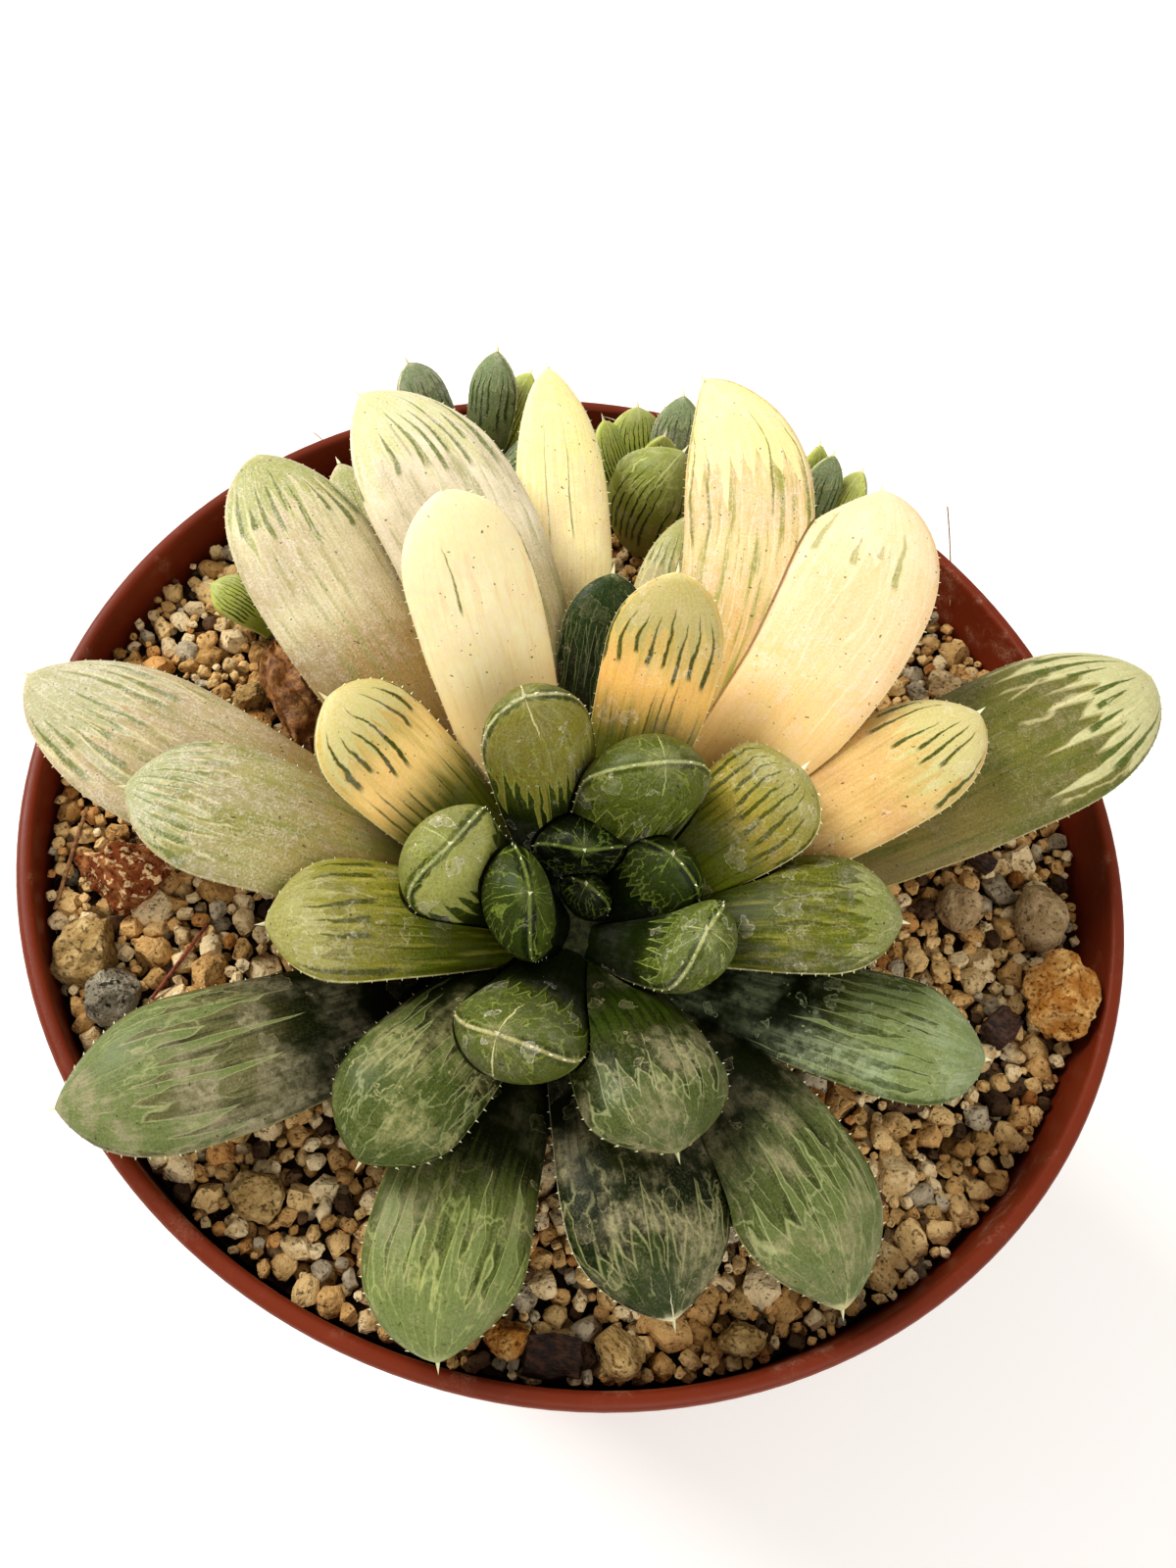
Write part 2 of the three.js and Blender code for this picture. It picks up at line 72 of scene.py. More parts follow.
# %%
CAMERA_PLACE = Vector((0, -57.687, 190.064)) * MM
CAMERA_RIGHT = Vector((0.9538, 0.2667, 0.1386))
CAMERA_UP = Vector((-0.3003, 0.8251, 0.4787))
LENS = 28.08
NEAREST = 5 * MM


def linked(name, data):
    """A new object with that data, put into the scene."""
    made = bpy.data.objects.new(name, data)
    bpy.context.scene.collection.objects.link(made)
    return made


camera_data = bpy.data.cameras.new("camera")
camera_data.lens = LENS
camera_data.clip_start = NEAREST
camera = linked("camera", camera_data)
back = CAMERA_RIGHT.cross(CAMERA_UP)
turned = Matrix((CAMERA_RIGHT, CAMERA_UP, back)).transposed().to_4x4()
camera.matrix_world = Matrix.Translation(CAMERA_PLACE) @ turned
bpy.context.scene.camera = camera
print("camera", round(camera.location.length / MM), "mm from the middle of the pot's foot")

# %% [markdown]
# ## Floor and light
#
# The plant stands on a white surface in bright, soft daylight. One wide lamp behind it on the left is
# the window, a weaker one in front fills the shadows, and a white world does the rest. The standard
# view transform with a little more contrast keeps white white and the yellow leaves yellow.

# %%
WORLD_LIGHT = 0.5
LAMPS = {
    # place in mm from the pot's foot, size in mm, watts
    "window": ((-560, 180, 560), 360, 4.9),
    "fill": ((330, -420, 480), 500, 1.8),
}

world = bpy.data.worlds.new("daylight")
world.use_nodes = True
world.node_tree.nodes["Background"].inputs["Color"].default_value = (1, 0.985, 0.96, 1)
world.node_tree.nodes["Background"].inputs["Strength"].default_value = WORLD_LIGHT
bpy.context.scene.world = world
bpy.context.scene.view_settings.view_transform = "Standard"
bpy.context.scene.view_settings.look = "Medium High Contrast"

for lamp_name, (place, size, watts) in LAMPS.items():
    bpy.ops.object.light_add(type="AREA", location=Vector(place) * MM)
    lamp = bpy.context.object
    lamp.name = lamp_name
    lamp.data.size = size * MM
    lamp.data.energy = watts
    lamp.rotation_euler = (-Vector(place)).to_track_quat("-Z", "Y").to_euler()
    print(lamp_name, round(lamp.location.length, 2), "m away")

bpy.ops.mesh.primitive_plane_add(size=4)
floor = bpy.context.object
floor.name = "floor"

# %% [markdown]
# ## Helpers for materials
#
# A material is a tree of nodes. The class Nodes adds a node and fills its inputs in one call: each
# input takes a number, a colour, or what another node gives, which is then linked. The commonest
# nodes have a short name each. What a node gives can be added, subtracted and multiplied like a
# number, and each such sum becomes a math node.

# %%
class Given:
    """What a node gives."""

    def __init__(self, nodes, socket):
        self.nodes, self.socket = nodes, socket

    def __add__(self, other):
        return self.nodes.math("ADD", self, other)

    def __mul__(self, other):
        return self.nodes.math("MULTIPLY", self, other)

    def __sub__(self, other):
        return self.nodes.math("SUBTRACT", self, other)

    def __rsub__(self, other):
        return self.nodes.math("SUBTRACT", other, self)

    __radd__, __rmul__ = __add__, __mul__


class Nodes:
    def __init__(self, tree):
        self.tree = tree

    def fill(self, node, inputs):
        """Sets or links the inputs of a node."""
        for key, value in dict(inputs).items():
            if isinstance(value, Given):
                self.tree.links.new(value.socket, node.inputs[key])
            else:
                node.inputs[key].default_value = value

    def add(self, kind, inputs=(), output=0, **settings):
        """Adds a node, and gives one of its outputs, or all."""
        node = self.tree.nodes.new(kind)
        for name, value in settings.items():
            setattr(node, name, value)
        self.fill(node, inputs)
        outputs = [Given(self, socket) for socket in node.outputs]
        return outputs if output is ALL else outputs[output]

    def math(self, operation, *values):
        return self.add("ShaderNodeMath", enumerate(values), operation=operation)

    def ramp(self, value, low, high, to_low=0.0, to_high=1.0):
        places = {0: value, 1: low, 2: high, 3: to_low, 4: to_high}
        return self.add("ShaderNodeMapRange", places, interpolation_type="SMOOTHSTEP")

    def mix(self, amount, a, b, blend="MIX"):
        places = {0: amount, 6: a, 7: b}
        return self.add("ShaderNodeMix", places, 2, data_type="RGBA", blend_type=blend)

    def noise(self, vector, scale, detail=2.0, roughness=0.5):
        places = {"Vector": vector, "Scale": scale, "Detail": detail, "Roughness": roughness}
        return self.add("ShaderNodeTexNoise", places)

    def join(self, x, y, z=0.0):
        return self.add("ShaderNodeCombineXYZ", {0: x, 1: y, 2: z})

    def apart(self, vector):
        return self.add("ShaderNodeSeparateXYZ", {0: vector}, ALL)

    def stretch(self, vector, *scale):
        return self.add("ShaderNodeMapping", {"Vector": vector, "Scale": scale})

    def place(self):
        """The place on the object, in millimetres."""
        return self.stretch(self.add("ShaderNodeTexCoord", output=3), 1000, 1000, 1000)

    def warp(self, place, scale, detail, amount):
        """The place, shifted by coloured noise."""
        shift = self.add("ShaderNodeTexNoise", {"Vector": place, "Scale": scale, "Detail": detail}, 1)
        shift = self.add("ShaderNodeVectorMath", {0: shift, 3: amount}, operation="SCALE")
        return self.add("ShaderNodeVectorMath", {0: place, 1: shift}, operation="ADD")


def colour(code):
    """A web colour as the linear light that Blender mixes."""
    parts = [int(code[i:i + 2], 16) / 255 for i in (1, 3, 5)]
    return (*[p / 12.92 if p < 0.04045 else ((p + 0.055) / 1.055) ** 2.4 for p in parts], 1.0)


def new_group(name, inputs, outputs):
    """A node group: its nodes, what it is given by name, and the node that its results fill."""
    group = bpy.data.node_groups.new(name, "ShaderNodeTree")
    for way, sockets in (("INPUT", inputs), ("OUTPUT", outputs)):
        for title, default in sockets.items():
            kind = "NodeSocketFloat" if isinstance(default, (int, float)) else "NodeSocketColor"
            socket = group.interface.new_socket(name=title, in_out=way, socket_type=kind)
            socket.default_value = default
    nodes = Nodes(group)
    given = {socket.name: Given(nodes, socket) for socket in group.nodes.new("NodeGroupInput").outputs}
    return nodes, given, group.nodes.new("NodeGroupOutput")


def finished(nodes, base, rough, height=None, bump=0.3, bump_size=0.3, **fixed):
    """Gives the material its colour, roughness and relief; fixed values stay on the shader."""
    shader = nodes.tree.nodes["Principled BSDF"]
    nodes.fill(shader, {title.replace("_", " "): value for title, value in fixed.items()})
    nodes.fill(shader, {"Base Color": base, "Roughness": rough})
    if height is not None:
        places = {"Strength": bump, "Distance": bump_size * MM, "Height": height}
        nodes.fill(shader, {"Normal": nodes.add("ShaderNodeBump", places)})
    return nodes.material


def blank(name):
    """An empty material and its nodes, with the place on the object in millimetres."""
    material = bpy.data.materials.new(name)
    material.use_nodes = True
    nodes = Nodes(material.node_tree)
    nodes.material = material
    return nodes, nodes.place()


# the floor is a plain white that glows a little
floor_nodes, floor_place = blank("white_surface")
floor_tint = floor_nodes.mix(floor_nodes.noise(floor_place, 0.01), colour("#fffdf8"), colour("#fffefc"))
floor.data.materials.append(
    finished(floor_nodes, floor_tint, 0.6, Emission_Color=(1, 0.99, 0.97, 1), Emission_Strength=0.1))

# %% [markdown]
# ## The pot
#
# Such pots are blown or moulded in one thin wall: a tapered cup, and under the rim a wider band that
# stacks on the next pot. It is turned here like a pot on a wheel. A disc is added, its rim is
# extruded, and each new ring is moved and scaled to the next point of the wall's outline, up the
# outside and down the inside. The drain holes are cut with a Boolean modifier.

# %%
_, pot_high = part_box("pot")
RIM = pot_high.z
RIM_RADIUS = pot_high.x
RIM_THICKNESS = 1.5 * MM
COLLAR_HEIGHT = 15 * MM
COLLAR_TAPER = 0.7 * MM
COLLAR_STEP = 1.6 * MM
FOOT_RADIUS = 37 * MM
WALL = 1.6 * MM
POT_FLOOR = 2.2 * MM
POT_SIDES = 160
DRAIN_HOLES = 6
DRAIN_RADIUS = 2.8 * MM
DRAIN_CIRCLE = 24 * MM
DRILL_SIDES = 32
FOOT_RING = 3.5 * MM  # how wide the ring is that the pot stands on
FOOT_RECESS = 0.7 * MM
FOOT_BEVEL = 1.2 * MM
COLLAR_BEVEL = 0.8 * MM
LIP_OUTSIDE, LIP_INSIDE = 0.7 * MM, 0.6 * MM

collar_foot = RIM - COLLAR_HEIGHT
collar_radius = RIM_RADIUS - COLLAR_TAPER
wall_radius = collar_radius - COLLAR_STEP
inner_radius = RIM_RADIUS - RIM_THICKNESS


def arc(middle, radius, start, end, steps):
    """Points of a round corner, as (distance from the axis, height)."""
    turns = [math.radians(start + (end - start) * i / steps) for i in range(steps + 1)]
    return [(middle[0] + radius * math.cos(a), middle[1] + radius * math.sin(a)) for a in turns]


def subdivided_cube(name, cuts):
    """A cube of half size 1 whose faces are subdivided."""
    bpy.ops.mesh.primitive_cube_add(size=2)
    cube = bpy.context.object
    cube.name = name
    bpy.ops.object.mode_set(mode="EDIT")
    bpy.ops.mesh.subdivide(number_cuts=cuts)
    bpy.ops.object.mode_set(mode="OBJECT")
    return cube


def cut_with(piece, cutter, solver):
    """Takes the form of the cutter out of the piece with a Boolean modifier."""
    cut = piece.modifiers.new("cut", "BOOLEAN")
    cut.object = cutter
    cut.solver = solver
    bpy.context.view_layer.objects.active = piece
    bpy.ops.object.modifier_apply(modifier=cut.name)


def turn_outline(name, outline, sides):
    """Turns an outline from the axis, ring after ring, as on a wheel, and closes both ends."""
    first, rings = outline[0], outline[1:]
    bpy.ops.mesh.primitive_circle_add(
        vertices=sides, radius=first[0], fill_type="TRIFAN", location=(0, 0, first[1]))
    turned_piece = bpy.context.object
    turned_piece.name = name
    bpy.ops.object.transform_apply()
    bpy.ops.object.mode_set(mode="EDIT")
    bpy.ops.mesh.select_mode(type="EDGE")
    bpy.ops.mesh.select_all(action="SELECT")
    bpy.ops.mesh.region_to_loop()
    radius, height = first
    for next_radius, next_height in rings:
        bpy.ops.mesh.extrude_edges_move(
            TRANSFORM_OT_translate={"value": (0, 0, next_height - height)})
        bpy.ops.transform.resize(
            value=(next_radius / radius, next_radius / radius, 1), center_override=(0, 0, 0))
        radius, height = next_radius, next_height
    bpy.ops.mesh.fill()
    bpy.ops.mesh.select_all(action="SELECT")
    bpy.ops.mesh.normals_make_consistent(inside=False)
    bpy.ops.object.mode_set(mode="OBJECT")
    bpy.ops.object.select_all(action="DESELECT")
    return turned_piece


def only(piece):
    """Selects this piece alone and makes it active."""
    bpy.ops.object.select_all(action="DESELECT")
    bpy.context.view_layer.objects.active = piece
    piece.select_set(True)


def settle(piece, slot, *nodes, angle=35):
    """Smooths a finished piece, makes it ride, and hides the solids that it stands for."""
    only(piece)
    bpy.ops.object.shade_smooth_by_angle(angle=math.radians(angle))
    bpy.ops.object.select_all(action="DESELECT")
    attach(piece, "root")
    if nodes:
        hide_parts(*nodes)
    return piece


foot_inside = FOOT_RADIUS - FOOT_RING
pot_outline = [
    (foot_inside - 2.5 * MM, FOOT_RECESS),
    (foot_inside - 0.7 * MM, FOOT_RECESS - 0.1 * MM),
    (foot_inside - 0.2 * MM, 0.15 * MM),
    (foot_inside + 0.2 * MM, 0),
    *arc((FOOT_RADIUS - FOOT_BEVEL, FOOT_BEVEL), FOOT_BEVEL, -90, 0, 5),
    (wall_radius - 0.4 * MM, collar_foot - 2 * MM),
    *arc((wall_radius + 0.6 * MM, collar_foot - 1.1 * MM), 0.7 * MM, 180, 120, 3),
    *arc((collar_radius - COLLAR_BEVEL, collar_foot + COLLAR_BEVEL), COLLAR_BEVEL, -70, 0, 5),
    *arc((RIM_RADIUS - LIP_OUTSIDE, RIM - LIP_OUTSIDE), LIP_OUTSIDE, 0, 90, 6),
    *arc((inner_radius + LIP_INSIDE, RIM - LIP_INSIDE), LIP_INSIDE, 90, 180, 6),
    (inner_radius - 0.3 * MM, collar_foot + 1 * MM),
    (wall_radius - WALL, collar_foot - 2 * MM),
    (FOOT_RADIUS - WALL, POT_FLOOR + 1.5 * MM),
    (FOOT_RADIUS - WALL - 1.5 * MM, POT_FLOOR),
]
pot = turn_outline("terracotta_pot", pot_outline, POT_SIDES)
for i in range(DRAIN_HOLES):
    angle = 2 * math.pi * i / DRAIN_HOLES
    place = (DRAIN_CIRCLE * math.cos(angle), DRAIN_CIRCLE * math.sin(angle), 0)
    bpy.ops.mesh.primitive_cylinder_add(
        vertices=DRILL_SIDES, radius=DRAIN_RADIUS, depth=4 * POT_FLOOR, location=place)
    drill = bpy.context.object
    cut_with(pot, drill, "EXACT")
    bpy.data.objects.remove(drill)
settle(pot, "pot_plastic", "pot")
print("pot:", len(pot.data.polygons), "faces, rim", round(2 * RIM_RADIUS / MM), "mm across")

# %% [markdown]
# The plastic is red-brown and satin. Handling has left fine scuffs, and dust and lime from watering
# have dried in cloudy patches, most of them inside, above the grit.

# %%
nodes, place = blank("pot_plastic")
x, y, height_mm = nodes.apart(place)
radius_mm = nodes.math("SQRT", x * x + y * y)
cloud = nodes.noise(place, 0.09, 4.0, 0.6)
scuff = nodes.noise(nodes.stretch(place, 1, 1, 6), 0.5, 6.0, 0.7)
grain = nodes.noise(place, 4.0, 3.0, 0.6)
plastic = nodes.mix(cloud, colour("#6a2a14"), colour("#7f3419"))
plastic = nodes.mix(nodes.ramp(scuff, 0.56, 0.8, 0, 0.25), plastic, colour("#a8623f"))
dust = nodes.ramp(nodes.noise(place, 0.16, 5.0, 0.65), 0.55, 0.72) * nodes.ramp(grain, 0.35, 0.6)
inside = nodes.ramp(radius_mm, (inner_radius + 0.1 * MM) / MM, (inner_radius + 0.6 * MM) / MM, 1, 0)
above_grit = inside * nodes.ramp(height_mm, 80, 85)
dusty = dust * nodes.ramp(above_grit, 0, 1, 0.1, 0.4)
plastic = nodes.mix(dusty, plastic, colour("#c8a58c"))
turning = nodes.noise(nodes.stretch(place, 0.02, 0.02, 1.6), 1.0, 4.0, 0.7)
plastic = nodes.mix(nodes.ramp(turning, 0.45, 0.75, 0, 0.18), plastic, colour("#5c2210"))
rough = nodes.ramp(dust + scuff, 0.2, 1.2, 0.36, 0.62)
pot.data.materials.append(finished(nodes, plastic, rough, grain + scuff, 0.12, 0.2,
                                   Specular_IOR_Level=0.22))

# %% [markdown]
# ## The form of a leaf
#
# Each leaf is thick and blunt. Its spine is a curve from the crown towards a bow and on to the tip.
# Across the spine the leaf is a lens: nearly flat above, swollen and keeled below, with an edge on
# both sides. A sphere with many rings has just these parts: its rings become the sections, its poles
# the base and the tip. So one sphere is added, and every leaf is a copy whose rings are moved to
# their places. No modifier bends a shape along such a curve and keeps its edges, so this is done
# with numbers.

# %%
LEAF_SEGMENTS = 48
LEAF_RINGS = 44
BASE_WIDTH, WIDEST, RISE, SHOULDER = 0.55, 0.66, 1.3, 2.1
SWELL_BASE, SWELL_PLACE, SWELL_POINT = 0.55, 0.7, 1.5
LOWER_SWELL = 0.34
EDGE = 1.2  # over 1, the section has an edge
RING_CROWDING = 1.8  # rings lie closer towards the tip
SHARPER = 0.62  # the tips come to a point a little sooner than in the solids

Leaf = namedtuple("Leaf", "tip bow width point swell turn look changes", defaults=(0.16, 0, "", {}))

bpy.ops.mesh.primitive_uv_sphere_add(segments=LEAF_SEGMENTS, ring_count=LEAF_RINGS, radius=1)
ball = bpy.context.object
bpy.ops.object.mode_set(mode="EDIT")
bpy.ops.mesh.flip_normals()  # on a leaf, left and right change sides
bpy.ops.object.mode_set(mode="OBJECT")
ball_points = np.array([v.co for v in ball.data.vertices])
ball_angle = np.arctan2(ball_points[:, 1], ball_points[:, 0])
ball_ring = np.arccos(np.clip(-ball_points[:, 2], -1, 1)) / math.pi
ball_along = 1 - (1 - ball_ring) ** RING_CROWDING
print("ball:", len(ball_points), "points")


def fullness(t, base, place, point):
    """How wide or thick the leaf is along its spine, as a share of the most."""
    rising = base + (1 - base) * np.sin(np.pi / 2 * np.clip(t / place, 0, 1)) ** RISE
    past = np.clip((t - place) / (1 - place), 0, 1)
    return np.where(t < place, rising, (1 - past ** SHOULDER) ** (1 / point))


def leaf_places(leaf, start, angle, t, grow=0.0):
    """Places in mm on the leaf's skin, for angles round it and shares t of its length; and the
    distance of each place from the leaf's edge."""
    bow, tip = np.array(leaf.bow, float), np.array(leaf.tip, float)
    s = t[:, None]
    spine = (1 - s) ** 2 * start + 2 * (1 - s) * s * bow + s ** 2 * tip
    along = (1 - s) * (bow - start) + s * (tip - bow)
    along /= np.linalg.norm(along, axis=1)[:, None]
    across = np.array((-math.sin(leaf.turn), math.cos(leaf.turn), 0))
    side = across - along * (along @ across)[:, None]
    side /= np.linalg.norm(side, axis=1)[:, None]
    up = np.cross(along, side)
    point = 1 + SHARPER * (leaf.point - 1)
    half = leaf.width / 2 * fullness(t, BASE_WIDTH, WIDEST, point)
    out = np.sin(angle)
    thick = leaf.width * fullness(t, SWELL_BASE, SWELL_PLACE, SWELL_POINT)
    swell = thick * np.where(out > 0, leaf.swell, LOWER_SWELL)
    lens = np.sign(out) * np.abs(out) ** EDGE
    closed = (t > 0) & (t < 1)
    wide = np.where(closed, half + grow, 0) * np.cos(angle)
    high = np.where(closed, swell + grow, 0) * lens
    ends = np.where(t <= 0, -grow, np.where(t >= 1, grow, 0))[:, None] * along
    edge = np.hypot(half * (1 - np.abs(np.cos(angle))), swell * lens)
    return spine - side * wide[:, None] + up * high[:, None] + ends, edge


def face_turns(mesh, angle):
    """For each face corner, the turns round the leaf, without the jump where a full turn ends."""
    corner_point = np.zeros(len(mesh.loops), int)
    mesh.loops.foreach_get("vertex_index", corner_point)
    counts = np.zeros(len(mesh.polygons), int)
    mesh.polygons.foreach_get("loop_total", counts)
    face = np.repeat(np.arange(len(counts)), counts)
    at_pole = np.isin(corner_point, np.nonzero(np.abs(ball_points[:, 2]) > 0.99999)[0])
    weight = np.where(at_pole, 0.0, 1.0)
    mean_x = np.bincount(face, weight * np.cos(angle[corner_point]))
    mean_y = np.bincount(face, weight * np.sin(angle[corner_point]))
    middle = np.arctan2(mean_y, mean_x)[face]
    away = (angle[corner_point] - middle + np.pi) % (2 * np.pi) - np.pi
    return (middle + np.where(at_pole, 0, away)) / (2 * np.pi), corner_point


ball_turns, ball_corners = face_turns(ball.data, ball_angle)


def make_leaf(name, leaf, start, grow=0.0, ripple=0.12):
    """A leaf as a copy of the ball, with its own coordinates on it in two UV maps: turns round it
    and share of its length; distance from its edge in mm."""
    places, edge = leaf_places(leaf, start, ball_angle, ball_along, grow)
    if ripple:
        middle = places.mean(axis=0)
        shifts = [noise.noise_vector(Vector(p + middle) / 6) for p in places]
        places = places + ripple * np.array(shifts)
    mesh = ball.data.copy()
    mesh.vertices.foreach_set("co", (places * MM).ravel())
    on_leaf = mesh.uv_layers[0]
    on_leaf.name = "leaf"
    pairs = np.column_stack((ball_turns, ball_along[ball_corners]))
    on_leaf.data.foreach_set("uv", pairs.ravel())
    from_edge = mesh.uv_layers.new(name="from_edge")
    pairs = np.column_stack((edge[ball_corners], edge[ball_corners]))
    from_edge.data.foreach_set("uv", pairs.ravel())
    mesh.update()
    return linked(name, mesh)

# %% [markdown]
# ## Where each leaf grows
#
# The leaves are numbered from the youngest, at the heart, to the oldest. Each older one starts a
# little lower and further out on the crown. Tip and bow are measured in mm from the crown's axis at
# the height of the rim. The last words say what the leaf looks like: a kind, and what is its own.

# %%
CROWN = np.array((1, -14.5, RIM / MM))
FIRST_RADIUS, RADIUS_STEP = 0.4, 0.13
FIRST_HEIGHT, HEIGHT_STEP = 3, 0.17

